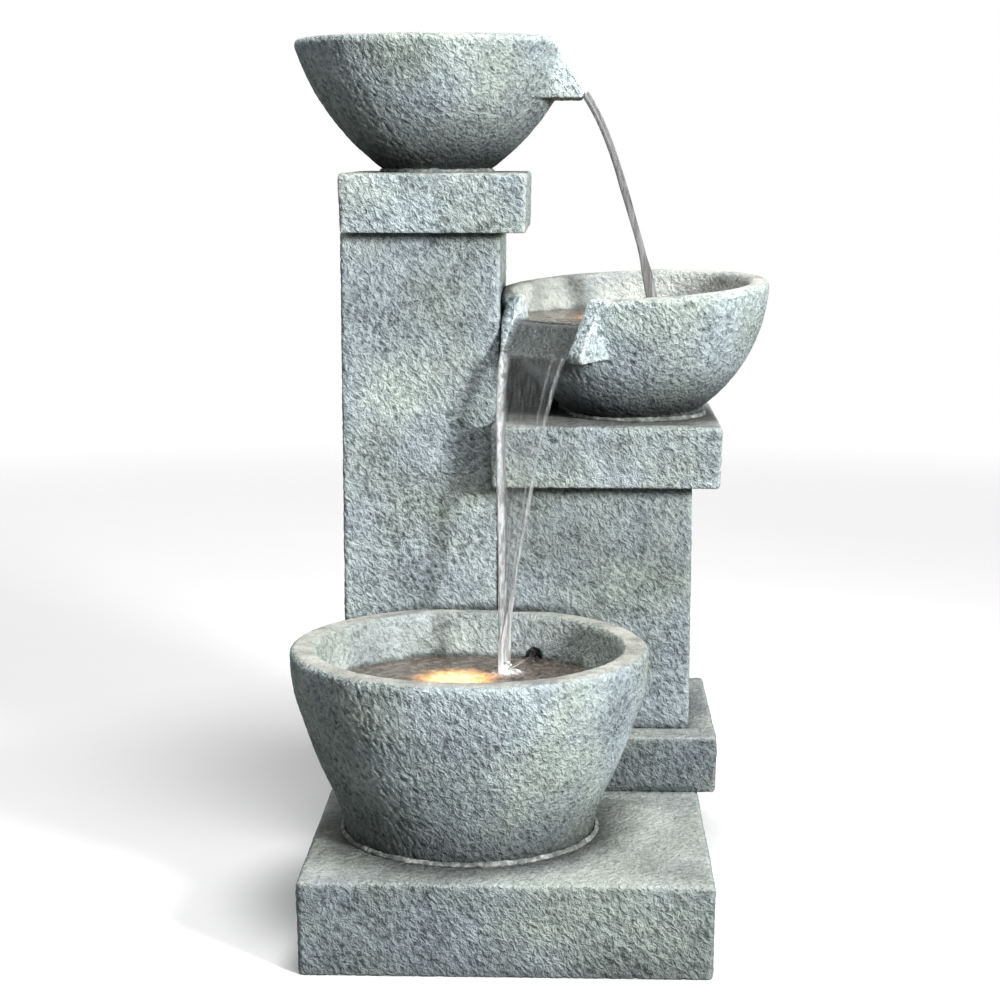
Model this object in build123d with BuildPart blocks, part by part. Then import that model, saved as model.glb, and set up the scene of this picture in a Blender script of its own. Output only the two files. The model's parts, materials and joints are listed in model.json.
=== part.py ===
"""Three-tier pedestal water fountain: cast-stone shells, submersible pump, hoses, lamps and leads.

Millimetres, +Z up. X runs from left to right and +Y from front to back. The origin is the
centre of the bounding box, on the floor.
"""

import math
import os

from build123d import *

os.makedirs("parts", exist_ok=True)

# Plinth, the hollow casting everything stands on
PLINTH_X = -14.5
PLINTH_Y = -1.5
PLINTH_W = 366.0
PLINTH_D = 540.0
PLINTH_H = 85.0
PLINTH_WALL = 12.0
PLINTH_DRAFT = 1.0

# Foot slab under the two columns
SLAB_X0, SLAB_X1 = -186.0, 186.4
SLAB_Y0, SLAB_Y1 = 6.0, 256.5
SLAB_TOP = 141.0
SLAB_WALL = 12.0

# Columns: square tubes that stand side by side with a thin seam between them
COLUMN_WALL = 10.0
TALL_X0, TALL_X1 = -186.0, -29.8
TALL_Y0, TALL_Y1 = 47.5, 240.0
TALL_TOP = 635.5
SHORT_X0, SHORT_X1 = -29.0, 160.0
SHORT_Y0, SHORT_Y1 = 40.3, 214.0
SHORT_TOP = 389.5

# Column caps: hollow blocks with a draft that widens them towards the top
CAP_WALL = 12.0
CAP_FLANGE = 10.0
CAP_DRAFT = 1.5
TALL_CAP_X0, TALL_CAP_X1 = -184.4, -3.0
TALL_CAP_Y0, TALL_CAP_Y1 = 15.0, 240.0
TALL_CAP_TOP = 692.5
SHORT_CAP_X0, SHORT_CAP_X1 = -37.5, 186.8
SHORT_CAP_Y0, SHORT_CAP_Y1 = 6.0, 215.0
SHORT_CAP_TOP = 450.5

EDGE = 4.0  # rounding of the castings' outer edges

# Basin, the lowest bowl, which is trimmed flat where it meets the columns
BASIN_X, BASIN_Y = -53.0, -105.5
BASIN_RIM_R = 166.4
BASIN_HEIGHT = 175.5
BASIN_FOOT_R = 116.5
BASIN_FLOOR = 18.0
BASIN_INNER_RIM_R = 142.0
BASIN_INNER_MID = (128.0, 85.0)
BASIN_INNER_FLOOR_R = 104.0
TRIM_GAP = 0.3

# Upper bowls
MIDDLE_X, MIDDLE_Y = 106.5, 114.5
MIDDLE_RIM_R = 136.5
MIDDLE_HEIGHT = 131.5
MIDDLE_FOOT_R = 66.0
MIDDLE_TILT = 3.8  # the bowl leans towards its spout
MIDDLE_SPOUT_AZIMUTH = 228.0  # spout direction, measured from +X
TOP_X, TOP_Y = -95.5, 129.5
TOP_RIM_R = 144.0
TOP_HEIGHT = 130.5
TOP_FOOT_R = 54.0
BOWL_WALL = 17.0
BOWL_FLOOR = 16.0
RIM_ROUND = 6.0
BOWL_CLEAR_X = -28.4  # the middle bowl is trimmed here to clear the tall column
SUPPORT_X0, SUPPORT_X1 = -28.4, 27.0
SUPPORT_Y0, SUPPORT_Y1 = 148.0, 204.0
SUPPORT_TOP = 508.0

# Spout of an upper bowl, measured from the bowl's axis
SPOUT_HALF_W = 60.5
CHANNEL_HALF_W = 42.5
SPOUT_TOP_D = 114.5
SPOUT_TIP_D = 147.4
WEIR_D = 123.0
WEIR_DROP = 26.0

# Supply hose and its fittings
HOSE_OD, HOSE_ID = 11.0, 8.0
BARB_R = 3.95
FITTING_BORE_R = BARB_R - 1.4
WALL_FITTING_X, WALL_FITTING_Z = -62.0, 204.0
WALL_SEAT_Y = 31.0
THREAD_R = 9.0
NUT_R = 14.0
HOSE_NUT_T = 6.0
SEAT_PLAY = 0.05

# Leads and the sealed hole that they use
LEAD_OD = 3.2
LEAD_HOLE_X, LEAD_HOLE_Z, LEAD_HOLE_R = 5.0, 219.5, 8.0
LEAD_BORE_A = (2.0, 221.5)
LEAD_BORE_B = (8.0, 217.5)
LEAD_GAP = 0.2  # between a lead's end and the housing that it enters
LEAD_BORE_PLAY = 1.0  # radial room around a lead in a seal

# Pump
PUMP_X = 4.0
PUMP_AXIS_Z = 128.0
PUMP_FRONT_Y, PUMP_BACK_Y = -98.0, -48.0
PUMP_BASE_Z, PUMP_TOP_Z = 108.0, 150.0
PUMP_HALF_W = 23.0
NOZZLE_Y = -91.0
SHAFT_R = 1.5
RUN_GAP = 0.05

# Rear hatch of the short column
HATCH_X, HATCH_Z = 70.0, 255.0
HATCH_W, HATCH_H = 100.0, 130.0
HATCH_LEDGE = 9.0
HATCH_SKIN = 5.0

# Junction box and cable gland
BOX_X0, BOX_X1 = 8.0, 52.0
BOX_Y0, BOX_Y1 = 174.0, 203.6
BOX_Z0, BOX_Z1 = 141.3, 176.0
BOX_WALL = 3.0
GLAND_X, GLAND_Z = 30.0, 158.0
GLAND_BORE_R = 3.2
GLAND_BODY_R = 6.0
GLAND_HEX_R = 10.0
GLAND_NUT_T = 4.0

floor_z = PLINTH_H + BASIN_FLOOR


def finish(part, label):
    """Name a piece and write it."""
    part.label = label
    export_step(part, f"parts/{label}.step")
    return part


def centred(x0, x1, y0, y1):
    """Centre and size of a rectangle given by its sides."""
    return ((x0 + x1) / 2, (y0 + y1) / 2), (x1 - x0, y1 - y0)


def profile_plane(frame):
    """The upright plane through a bowl's axis and its spout."""
    return Plane(origin=frame.origin, x_dir=frame.x_dir, z_dir=-frame.y_dir)


def back_plane(x, y, z):
    """A plane across the Y axis: its normal is +Y and its own y axis is +Z."""
    return Plane(origin=(x, y, z), x_dir=(-1, 0, 0), z_dir=(0, 1, 0))


# ---------------------------------------------------------------- plinth and foot slab

with BuildPart() as plinth:
    with BuildSketch(Plane.XY.offset(PLINTH_H)):
        with Locations((PLINTH_X, PLINTH_Y)):
            RectangleRounded(PLINTH_W, PLINTH_D, 7)
    extrude(amount=-PLINTH_H, taper=PLINTH_DRAFT)
    fillet(plinth.faces().sort_by(Axis.Z)[-1].edges(), radius=EDGE + 1)
    with BuildSketch(Plane.XY):
        with Locations((PLINTH_X, PLINTH_Y)):
            with GridLocations(0, PLINTH_D / 2 - PLINTH_WALL / 2, 1, 2):
                Rectangle(PLINTH_W - 2 * PLINTH_WALL, PLINTH_D / 2 - 1.5 * PLINTH_WALL)
    extrude(amount=PLINTH_H - PLINTH_WALL, mode=Mode.SUBTRACT)
finish(plinth.part, "plinth")


def basin_outline(grow):
    """Half section of the basin's outside, as (radius, height) from its foot."""
    with BuildSketch(Plane.XZ) as outline:
        with BuildLine():
            side = Spline(
                (BASIN_FOOT_R + grow, 0),
                (BASIN_FOOT_R + 5.0 + grow, 25),
                (138.7 + grow, 65),
                (157.6 + grow, 117.5),
                (BASIN_RIM_R + grow, BASIN_HEIGHT),
                tangents=[(0.1, 1), (0.02, 1)],
            )
            Polyline(side @ 1, (0, BASIN_HEIGHT), (0, 0), side @ 0)
        make_face()
    return Pos(BASIN_X, BASIN_Y, PLINTH_H) * outline.sketch


basin_axis = Axis((BASIN_X, BASIN_Y, 0), (0, 0, 1))
basin_recess = revolve(basin_outline(TRIM_GAP), axis=basin_axis)

slab_centre, slab_size = centred(SLAB_X0, SLAB_X1, SLAB_Y0, SLAB_Y1)
with BuildPart() as foot_slab:
    with BuildSketch(Plane.XY.offset(SLAB_TOP)):
        with Locations(slab_centre):
            RectangleRounded(*slab_size, EDGE)
    extrude(amount=PLINTH_H - SLAB_TOP, taper=CAP_DRAFT)
    fillet(foot_slab.faces().sort_by(Axis.Z)[-1].edges(), radius=EDGE)
    with BuildSketch(Plane.XY.offset(PLINTH_H)):
        with Locations(slab_centre):
            Rectangle(slab_size[0] - 2 * SLAB_WALL, slab_size[1] - 2 * SLAB_WALL)
    extrude(amount=SLAB_TOP - PLINTH_H - SLAB_WALL, mode=Mode.SUBTRACT)
    add(basin_recess, mode=Mode.SUBTRACT)
finish(foot_slab.part, "foot_slab")


# ---------------------------------------------------------------- columns and caps

tall_centre, tall_size = centred(TALL_X0, TALL_X1, TALL_Y0, TALL_Y1)
tall_inside = (tall_size[0] - 2 * COLUMN_WALL, tall_size[1] - 2 * COLUMN_WALL)
short_centre, short_size = centred(SHORT_X0, SHORT_X1, SHORT_Y0, SHORT_Y1)
short_inside = (short_size[0] - 2 * COLUMN_WALL, short_size[1] - 2 * COLUMN_WALL)

with BuildPart() as tall_column:
    with BuildSketch(Plane.XY.offset(SLAB_TOP)):
        with Locations(tall_centre):
            RectangleRounded(*tall_size, EDGE)
            Rectangle(*tall_inside, mode=Mode.SUBTRACT)
    extrude(amount=TALL_TOP - SLAB_TOP)
    with BuildSketch(back_plane(WALL_FITTING_X, TALL_Y0 - 1, WALL_FITTING_Z)):
        Circle(THREAD_R + 0.3)
    extrude(amount=COLUMN_WALL + 2, mode=Mode.SUBTRACT)
finish(tall_column.part, "tall_column")

rebate_w = HATCH_W + 2 * HATCH_LEDGE
rebate_h = HATCH_H + 2 * HATCH_LEDGE
ledge_y = SHORT_Y1 - HATCH_SKIN - 0.2
strike_spots = [
    (sx * (HATCH_W + HATCH_LEDGE) / 2, sz * (HATCH_H - 30) / 2) for sx in (-1, 1) for sz in (-1, 1)
]
STRIKE_R, STRIKE_DEEP = 3.0, 2.0

with BuildPart() as short_column_blank:
    with BuildSketch(Plane.XY.offset(SLAB_TOP)):
        with Locations(short_centre):
            RectangleRounded(*short_size, EDGE)
            Rectangle(*short_inside, mode=Mode.SUBTRACT)
    extrude(amount=SHORT_TOP - SLAB_TOP)
    with BuildSketch(back_plane(LEAD_HOLE_X, SHORT_Y0 - 1, LEAD_HOLE_Z)):
        Circle(LEAD_HOLE_R)
    extrude(amount=COLUMN_WALL + 2, mode=Mode.SUBTRACT)
    with BuildSketch(back_plane(GLAND_X, SHORT_Y1 - COLUMN_WALL - 1, GLAND_Z)):
        Circle(GLAND_BODY_R + 0.2)
    extrude(amount=COLUMN_WALL + 2, mode=Mode.SUBTRACT)
    with BuildSketch(back_plane(HATCH_X, SHORT_Y1 - COLUMN_WALL - 1, HATCH_Z)):
        RectangleRounded(HATCH_W, HATCH_H, 6)
    extrude(amount=COLUMN_WALL + 2, mode=Mode.SUBTRACT)
    with BuildSketch(back_plane(HATCH_X, ledge_y, HATCH_Z)):
        RectangleRounded(rebate_w, rebate_h, 9)
        with Locations((0, rebate_h / 2)):
            Circle(11)
    extrude(amount=COLUMN_WALL, mode=Mode.SUBTRACT)
    with BuildSketch(back_plane(HATCH_X, ledge_y - STRIKE_DEEP, HATCH_Z)):
        with Locations(*strike_spots):
            Circle(STRIKE_R)
    extrude(amount=COLUMN_WALL, mode=Mode.SUBTRACT)

# The rear wall is a slab of its own, bonded to the three other walls
back_joint = Plane(origin=(0, SHORT_Y1 - COLUMN_WALL, 0), z_dir=(0, 1, 0))
with BuildPart() as short_column:
    add(short_column_blank.part)
    split(bisect_by=back_joint, keep=Keep.BOTTOM)
finish(short_column.part, "short_column")
with BuildPart() as short_column_back:
    add(short_column_blank.part)
    split(bisect_by=back_joint, keep=Keep.TOP)
finish(short_column_back.part, "short_column_back")


def make_cap(sides, bottom, top, opening_centre, opening_size, bore):
    """A hollow cap: drafted block, open below over the column, with one hole in its top."""
    centre, size = centred(*sides)
    with BuildPart() as cap:
        with BuildSketch(Plane.XY.offset(top)):
            with Locations(centre):
                RectangleRounded(*size, EDGE)
        extrude(amount=bottom - top, taper=CAP_DRAFT)
        fillet(cap.faces().sort_by(Axis.Z)[-1].edges(), radius=EDGE)
        with BuildSketch(Plane.XY.offset(bottom + CAP_FLANGE)):
            with Locations(centre):
                Rectangle(size[0] - 2 * CAP_WALL, size[1] - 2 * CAP_WALL)
        extrude(amount=top - bottom - CAP_FLANGE - CAP_WALL, mode=Mode.SUBTRACT)
        with BuildSketch(Plane.XY.offset(bottom - 1)):
            with Locations(opening_centre):
                Rectangle(*opening_size)
        extrude(amount=CAP_FLANGE + 2, mode=Mode.SUBTRACT)
        with BuildSketch(Plane.XY.offset(top + 1)):
            with Locations(bore[:2]):
                Circle(bore[2])
        extrude(amount=-CAP_WALL - 2, mode=Mode.SUBTRACT)
    return cap.part


spout_angle = math.radians(MIDDLE_SPOUT_AZIMUTH)
spout_dir = (math.cos(spout_angle), math.sin(spout_angle))
LAMP_D, MIDDLE_GLAND_D = 32.0, -34.0  # along the spout direction from the bowl's axis
middle_gland = (MIDDLE_X + MIDDLE_GLAND_D * spout_dir[0], MIDDLE_Y + MIDDLE_GLAND_D * spout_dir[1])
MIDDLE_GLAND_R = 6.0

tall_cap_sides = (TALL_CAP_X0, TALL_CAP_X1, TALL_CAP_Y0, TALL_CAP_Y1)
short_cap_sides = (SHORT_CAP_X0, SHORT_CAP_X1, SHORT_CAP_Y0, SHORT_CAP_Y1)
tall_column_cap = make_cap(
    tall_cap_sides, TALL_TOP, TALL_CAP_TOP, tall_centre, tall_inside, (TOP_X, TOP_Y, THREAD_R + 0.3)
)
finish(tall_column_cap, "tall_column_cap")
short_cap_blank = make_cap(
    short_cap_sides, SHORT_TOP, SHORT_CAP_TOP, short_centre, short_inside, (*middle_gland, MIDDLE_GLAND_R + 0.3)
)
CORNER_WALL = 10.0  # where the short cap wraps round the tall column's front corner
with BuildPart() as short_column_cap:
    add(short_cap_blank)
    with BuildSketch(Plane.XY.offset(SHORT_TOP)):
        with Locations(((SHORT_CAP_X0 + TALL_X1) / 2 + CORNER_WALL / 2, tall_centre[1])):
            Rectangle(TALL_X1 - SHORT_CAP_X0 + CORNER_WALL, tall_size[1] + 2 * CORNER_WALL)
    extrude(amount=SHORT_CAP_TOP - SHORT_TOP - EDGE)
    with BuildSketch(Plane.XY.offset(SHORT_TOP - 1)):
        with Locations((TALL_X1 + 2 * TRIM_GAP - tall_size[0] / 2, TALL_Y0 - TRIM_GAP + tall_size[1] / 2)):
            Rectangle(tall_size[0], tall_size[1])
    extrude(amount=SHORT_CAP_TOP - SHORT_TOP + 2, mode=Mode.SUBTRACT)
    split(bisect_by=Plane(origin=(0, SHORT_CAP_Y1, 0), z_dir=(0, -1, 0)), keep=Keep.TOP)
finish(short_column_cap.part, "short_column_cap")


# ---------------------------------------------------------------- bowls

with BuildPart() as basin:
    add(revolve(basin_outline(0), axis=basin_axis))
    with BuildSketch(Plane(origin=(BASIN_X, BASIN_Y, PLINTH_H), x_dir=(1, 0, 0), z_dir=(0, -1, 0))):
        with BuildLine():
            inner = ThreePointArc(
                (BASIN_INNER_FLOOR_R, BASIN_FLOOR), BASIN_INNER_MID, (BASIN_INNER_RIM_R, BASIN_HEIGHT)
            )
            Polyline(inner @ 1, (0, BASIN_HEIGHT), (0, BASIN_FLOOR), inner @ 0)
        make_face()
    revolve(axis=basin_axis, mode=Mode.SUBTRACT)
    fillet(basin.edges().group_by(Axis.Z)[-1], radius=RIM_ROUND)
    reach = 2 * BASIN_RIM_R
    trim_depth = 100.0
    for x_side, trim_y in ((-1, TALL_Y0), (1, SHORT_Y0)):
        trim_x = TALL_X1 + TRIM_GAP + x_side * reach / 2
        with BuildSketch(Plane.XY.offset(SLAB_TOP - TRIM_GAP)):
            with Locations((trim_x, trim_y - TRIM_GAP + trim_depth / 2)):
                Rectangle(reach, trim_depth)
        extrude(amount=BASIN_HEIGHT, mode=Mode.SUBTRACT)
    with BuildSketch(back_plane(WALL_FITTING_X, 0, WALL_FITTING_Z)):
        Circle(NUT_R + 1)
    extrude(amount=WALL_SEAT_Y, mode=Mode.SUBTRACT)
    with BuildSketch(back_plane(WALL_FITTING_X, 0, WALL_FITTING_Z)):
        Circle(THREAD_R + 0.3)
    extrude(amount=TALL_Y0, mode=Mode.SUBTRACT)
    with BuildSketch(back_plane(LEAD_HOLE_X, 0, LEAD_HOLE_Z)):
        Circle(LEAD_HOLE_R)
    extrude(amount=SHORT_Y0, mode=Mode.SUBTRACT)
finish(basin.part, "basin")


def make_bowl(frame, height, rim_r, foot_r, foot_drop, arc_mid, spout, bore):
    """An upper bowl with its spout.

    frame: the bowl's own plane, z along its axis and x towards the spout, at foot level.
    foot_drop: how far above foot level the curved shell begins, with a level foot below it.
    arc_mid: (radius, height) of a point half way up the outside.
    spout: (drop of the cheeks' tip, drop of the lip) below the rim.
    bore: (x, y, radius) of the hole through the floor.
    """
    side = profile_plane(frame)
    tip_drop, lip_drop = spout
    bowl_axis = Axis(frame.origin, frame.z_dir)
    with BuildPart() as hollow:
        with BuildSketch(side):
            with BuildLine():
                inner_arc = ThreePointArc(
                    (foot_r - 12, BOWL_FLOOR),
                    (arc_mid[0] - BOWL_WALL + 1, arc_mid[1] + 6),
                    (rim_r - BOWL_WALL - 2, height),
                )
                Polyline(inner_arc @ 1, (0, height), (0, BOWL_FLOOR), inner_arc @ 0)
            make_face()
        revolve(axis=bowl_axis)
    with BuildPart() as bowl:
        with BuildSketch(side):
            with BuildLine():
                outer = ThreePointArc((foot_r + 1.5, foot_drop), arc_mid, (rim_r, height))
                Polyline(outer @ 1, (0, height), (0, foot_drop), outer @ 0)
            make_face()
        revolve(axis=bowl_axis)
        add(hollow.part, mode=Mode.SUBTRACT)
        fillet(bowl.faces().sort_by(bowl_axis)[-1].edges(), radius=RIM_ROUND)
        with BuildSketch(side):
            Polygon(
                (SPOUT_TOP_D - 30, height),
                (SPOUT_TOP_D, height),
                (SPOUT_TIP_D, height - tip_drop),
                (SPOUT_TIP_D - 2, height - lip_drop),
                (SPOUT_TOP_D - 30, height - lip_drop),
                align=None,
            )
        extrude(amount=SPOUT_HALF_W, both=True)
        add(hollow.part, mode=Mode.SUBTRACT)
        run = (SPOUT_TIP_D - SPOUT_TOP_D) / tip_drop
        with BuildSketch(side):
            Polygon(
                (SPOUT_TOP_D - 10 * run, height + 10),
                (rim_r + 30, height + 10),
                (rim_r + 30, height - tip_drop),
                (SPOUT_TIP_D, height - tip_drop),
                align=None,
            )
        extrude(amount=rim_r, both=True, mode=Mode.SUBTRACT)
        with BuildSketch(side):
            Polygon(
                (50, height + 10),
                (50, height - WEIR_DROP),
                (WEIR_D, height - WEIR_DROP),
                (SPOUT_TIP_D - 4, height - lip_drop + 5),
                (rim_r + 30, height - lip_drop + 3),
                (rim_r + 30, height + 10),
                align=None,
            )
        extrude(amount=CHANNEL_HALF_W, both=True, mode=Mode.SUBTRACT)
        with BuildSketch(Plane(origin=frame.origin)):
            Circle(foot_r)
        extrude(amount=BOWL_FLOOR - 4)
        with BuildSketch(Plane.XY.offset(frame.origin.Z - 1)):
            with Locations(bore[:2]):
                Circle(bore[2])
        extrude(amount=BOWL_FLOOR + 20, mode=Mode.SUBTRACT)
    return bowl.part


tilt = math.radians(MIDDLE_TILT)
middle_frame = Plane(
    origin=(MIDDLE_X, MIDDLE_Y, SHORT_CAP_TOP),
    x_dir=(math.cos(tilt) * spout_dir[0], math.cos(tilt) * spout_dir[1], -math.sin(tilt)),
    z_dir=(math.sin(tilt) * spout_dir[0], math.sin(tilt) * spout_dir[1], math.cos(tilt)),
)
MIDDLE_FOOT_DROP = 8.0
MIDDLE_ARC_MID = (109.5, 50.5)
middle_blank = make_bowl(
    middle_frame, MIDDLE_HEIGHT, MIDDLE_RIM_R, MIDDLE_FOOT_R, MIDDLE_FOOT_DROP, MIDDLE_ARC_MID, (50.0, 58.0),
    (*middle_gland, MIDDLE_GLAND_R + 0.3),
)
with BuildPart() as middle_bowl:
    add(middle_blank)
    split(bisect_by=Plane(origin=(BOWL_CLEAR_X, 0, 0), z_dir=(1, 0, 0)), keep=Keep.TOP)
finish(middle_bowl.part, "middle_bowl")

# The block that carries the overhanging side of the middle bowl, between the tall column and the bowl
with BuildPart() as bowl_support:
    with BuildSketch(Plane.XY.offset(SHORT_CAP_TOP)):
        with Locations(((SUPPORT_X0 + SUPPORT_X1) / 2, (SUPPORT_Y0 + SUPPORT_Y1) / 2)):
            RectangleRounded(SUPPORT_X1 - SUPPORT_X0, SUPPORT_Y1 - SUPPORT_Y0, EDGE)
    extrude(amount=SUPPORT_TOP - SHORT_CAP_TOP)
    with BuildSketch(profile_plane(middle_frame)):
        with BuildLine():
            shell = ThreePointArc(
                (MIDDLE_FOOT_R + 1.5 + TRIM_GAP, MIDDLE_FOOT_DROP),
                (MIDDLE_ARC_MID[0] + TRIM_GAP, MIDDLE_ARC_MID[1]),
                (MIDDLE_RIM_R + TRIM_GAP, MIDDLE_HEIGHT),
            )
            Polyline(shell @ 1, (0, MIDDLE_HEIGHT), (0, 0), (MIDDLE_FOOT_R, 0), shell @ 0)
        make_face()
    revolve(axis=Axis(middle_frame.origin, middle_frame.z_dir), mode=Mode.SUBTRACT)
finish(bowl_support.part, "bowl_support")

top_frame = Plane(origin=(TOP_X, TOP_Y, TALL_CAP_TOP), x_dir=(1, 0, 0), z_dir=(0, 0, 1))
top_bowl = make_bowl(
    top_frame, TOP_HEIGHT, TOP_RIM_R, TOP_FOOT_R, 4.0, (105.0, 53.0), (50.0, 58.5),
    (TOP_X, TOP_Y, THREAD_R + 0.3),
)
finish(top_bowl, "top_bowl")


def make_bead(x, y, z, radius, size):
    """A bead of sealing mortar round a bowl's foot."""
    with BuildPart() as bead:
        with BuildSketch(Plane(origin=(x, y, z), x_dir=(1, 0, 0), z_dir=(0, -1, 0))):
            with BuildLine():
                slope = ThreePointArc(
                    (radius + size, 0), (radius + 0.75 * size, 0.6 * size), (radius + 0.3, size)
                )
                Polyline(slope @ 1, (radius + 0.3, 0), slope @ 0)
            make_face()
        revolve(axis=Axis((x, y, 0), (0, 0, 1)))
    return bead.part


with BuildPart() as basin_bead:
    add(make_bead(BASIN_X, BASIN_Y, PLINTH_H, BASIN_FOOT_R + 0.9, 4.5))
    with BuildSketch(Plane.XY.offset(PLINTH_H - 1)):
        with Locations((BASIN_X, SLAB_Y0 + 1.2 + trim_depth / 2)):
            Rectangle(reach, trim_depth)
    extrude(amount=10, mode=Mode.SUBTRACT)
finish(basin_bead.part, "basin_bead")
with BuildPart() as middle_bowl_bead:
    add(make_bead(MIDDLE_X, MIDDLE_Y, SHORT_CAP_TOP, MIDDLE_FOOT_R, 4.5))
    add(middle_bowl.part, mode=Mode.SUBTRACT)
finish(middle_bowl_bead.part, "middle_bowl_bead")
finish(make_bead(TOP_X, TOP_Y, TALL_CAP_TOP, TOP_FOOT_R, 4.0), "top_bowl_bead")


# ---------------------------------------------------------------- hoses and leads


def tube_along(points, diameter, bore, name):
    """A round tube along straight runs joined by the largest tangent arcs that they allow."""
    corners = [Vector(*p) for p in points]
    runs = [b - a for a, b in zip(corners, corners[1:])]
    radii = []
    for before, after in zip(runs, runs[1:]):
        half_turn = math.radians(before.get_angle(after)) / 2
        radii.append(0.45 * min(before.length, after.length) / math.tan(half_turn))
    with BuildPart() as tube:
        with BuildLine() as path:
            FilletPolyline(*points, radius=radii)
        with BuildSketch(Plane(origin=corners[0], z_dir=runs[0].normalized())):
            Circle(diameter / 2)
            if bore:
                Circle(bore / 2, mode=Mode.SUBTRACT)
        sweep(path=path.wires()[0])
    length = path.wires()[0].length
    ideal = math.pi / 4 * (diameter**2 - bore**2) * length
    print(f"{name}: length {length:.1f}, smallest radius {min(radii):.1f}, radii {[round(r) for r in radii]}")
    print(f"{name}: volume / (section x length) = {tube.part.volume / ideal:.4f}")
    return finish(tube.part, name)


basin_hose_route = [
    (PUMP_X, NOZZLE_Y, PUMP_TOP_Z + 1),
    (PUMP_X, NOZZLE_Y, PUMP_TOP_Z + 21),
    (-2.6, -81.0, 191.8),
    (-13.9, -63.6, 203.8),
    (-38.0, -31.0, 205.5),
    (WALL_FITTING_X, 0.0, WALL_FITTING_Z),
    (WALL_FITTING_X, 26.0, WALL_FITTING_Z),
]
riser_hose_route = [
    (WALL_FITTING_X, 66.0, WALL_FITTING_Z),
    (WALL_FITTING_X, 92.0, WALL_FITTING_Z),
    (-64.0, 118.0, 219.0),
    (-68.0, 134.0, 246.0),
    (-73.0, 139.0, 290.0),
    (-84.0, 141.0, 370.0),
    (-93.0, 138.0, 460.0),
    (-97.0, 131.0, 550.0),
    (TOP_X, TOP_Y, 620.0),
    (TOP_X, TOP_Y, 671.5),
]
tube_along(basin_hose_route, HOSE_OD, HOSE_ID, "basin_hose")
tube_along(riser_hose_route, HOSE_OD, HOSE_ID, "riser_hose")

BASIN_LAMP = (-66.0, -84.0)
LAMP_R = 20.0
lead_end_z = BOX_Z1 - BOX_WALL - 6
box_entries = [(20.0, 188.0), (30.0, 188.0), (40.0, 188.0)]

basin_lamp_route = [
    (BASIN_LAMP[0], BASIN_LAMP[1] + LAMP_R + LEAD_GAP, 108.0),
    (BASIN_LAMP[0], -42.0, 109.0),
    (-56.0, -18.0, 121.0),
    (-40.0, -3.0, 141.0),
    (-24.0, 2.0, 168.0),
    (-8.0, -6.0, 195.0),
    (LEAD_BORE_A[0], 1.0, LEAD_BORE_A[1] - 0.5),
    (LEAD_BORE_A[0], 48.0, LEAD_BORE_A[1] + 0.3),
    (6.0, 88.0, 232.0),
    (13.0, 126.0, 232.0),
    (18.0, 160.0, 227.0),
    (20.0, 182.0, 213.0),
    (*box_entries[0], 191.0),
    (*box_entries[0], lead_end_z),
]
pump_lead_route = [
    (PUMP_X, PUMP_BACK_Y + LEAD_GAP, 122.0),
    (PUMP_X, -30.0, 122.5),
    (5.0, -15.0, 134.0),
    (7.0, -15.0, 157.0),
    (8.0, -21.0, 181.0),
    (8.0, -17.0, 204.0),
    (LEAD_BORE_B[0], 1.0, LEAD_BORE_B[1] - 0.4),
    (LEAD_BORE_B[0], 44.0, LEAD_BORE_B[1] + 0.2),
    (14.0, 84.0, 223.0),
    (22.0, 120.0, 224.0),
    (28.0, 156.0, 220.0),
    (30.0, 180.0, 208.0),
    (*box_entries[1], 189.0),
    (*box_entries[1], lead_end_z),
]
lamp_exit_d = LAMP_D - LAMP_R - 2 * LEAD_GAP


def along_spout(distance):
    """A point on the middle bowl's spout line, at a distance from the bowl's axis."""
    return (MIDDLE_X + distance * spout_dir[0], MIDDLE_Y + distance * spout_dir[1])


lamp_loop = [(0, 473.0), (9, 475.5), (16, 483.0), (20, 493.0), (27, 500.5), (36.5, 501.0), (43.5, 494.5)]
middle_lamp_route = [
    *[(*along_spout(lamp_exit_d - reach_back), height) for reach_back, height in lamp_loop],
    (*middle_gland, 484.5),
    (middle_gland[0] + 0.3, middle_gland[1] + 0.3, 466.0),
    (middle_gland[0] - 0.2, middle_gland[1], 432.0),
    (middle_gland[0] - 3.0, middle_gland[1] + 2.0, 392.0),
    (117.0, 148.0, 352.0),
    (104.0, 155.0, 310.0),
    (88.0, 162.0, 270.0),
    (71.0, 170.0, 238.0),
    (56.0, 178.0, 216.0),
    (45.0, 185.0, 202.0),
    (*box_entries[2], 187.0),
    (*box_entries[2], lead_end_z),
]
tube_along(basin_lamp_route, LEAD_OD, 0, "basin_lamp_lead")
tube_along(pump_lead_route, LEAD_OD, 0, "pump_lead")
tube_along(middle_lamp_route, LEAD_OD, 0, "middle_lamp_lead")

with BuildPart() as lead_grommet:
    with BuildSketch(back_plane(LEAD_HOLE_X, 24, LEAD_HOLE_Z)):
        Circle(LEAD_HOLE_R)
        for bore_x, bore_z in (LEAD_BORE_A, LEAD_BORE_B):
            with Locations((LEAD_HOLE_X - bore_x, bore_z - LEAD_HOLE_Z)):
                Circle(LEAD_OD / 2 + LEAD_BORE_PLAY, mode=Mode.SUBTRACT)
    extrude(amount=12)
finish(lead_grommet.part, "lead_grommet")


# ---------------------------------------------------------------- hose fittings


def ring(plane, outer_r, inner_r, length):
    """A plain ring standing on a plane."""
    with BuildPart() as part:
        with BuildSketch(plane):
            Circle(outer_r)
            Circle(inner_r, mode=Mode.SUBTRACT)
        extrude(amount=length)
    return part.part


def hex_nut(plane, radius, bore_r, thickness):
    """A hexagonal nut standing on a plane."""
    with BuildPart() as nut:
        with BuildSketch(plane):
            RegularPolygon(radius, 6)
            Circle(bore_r, mode=Mode.SUBTRACT)
        extrude(amount=thickness)
        chamfer(nut.faces().sort_by(Axis(plane.origin, plane.z_dir))[-1].outer_wire().edges(), length=0.8)
    return nut.part


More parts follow.
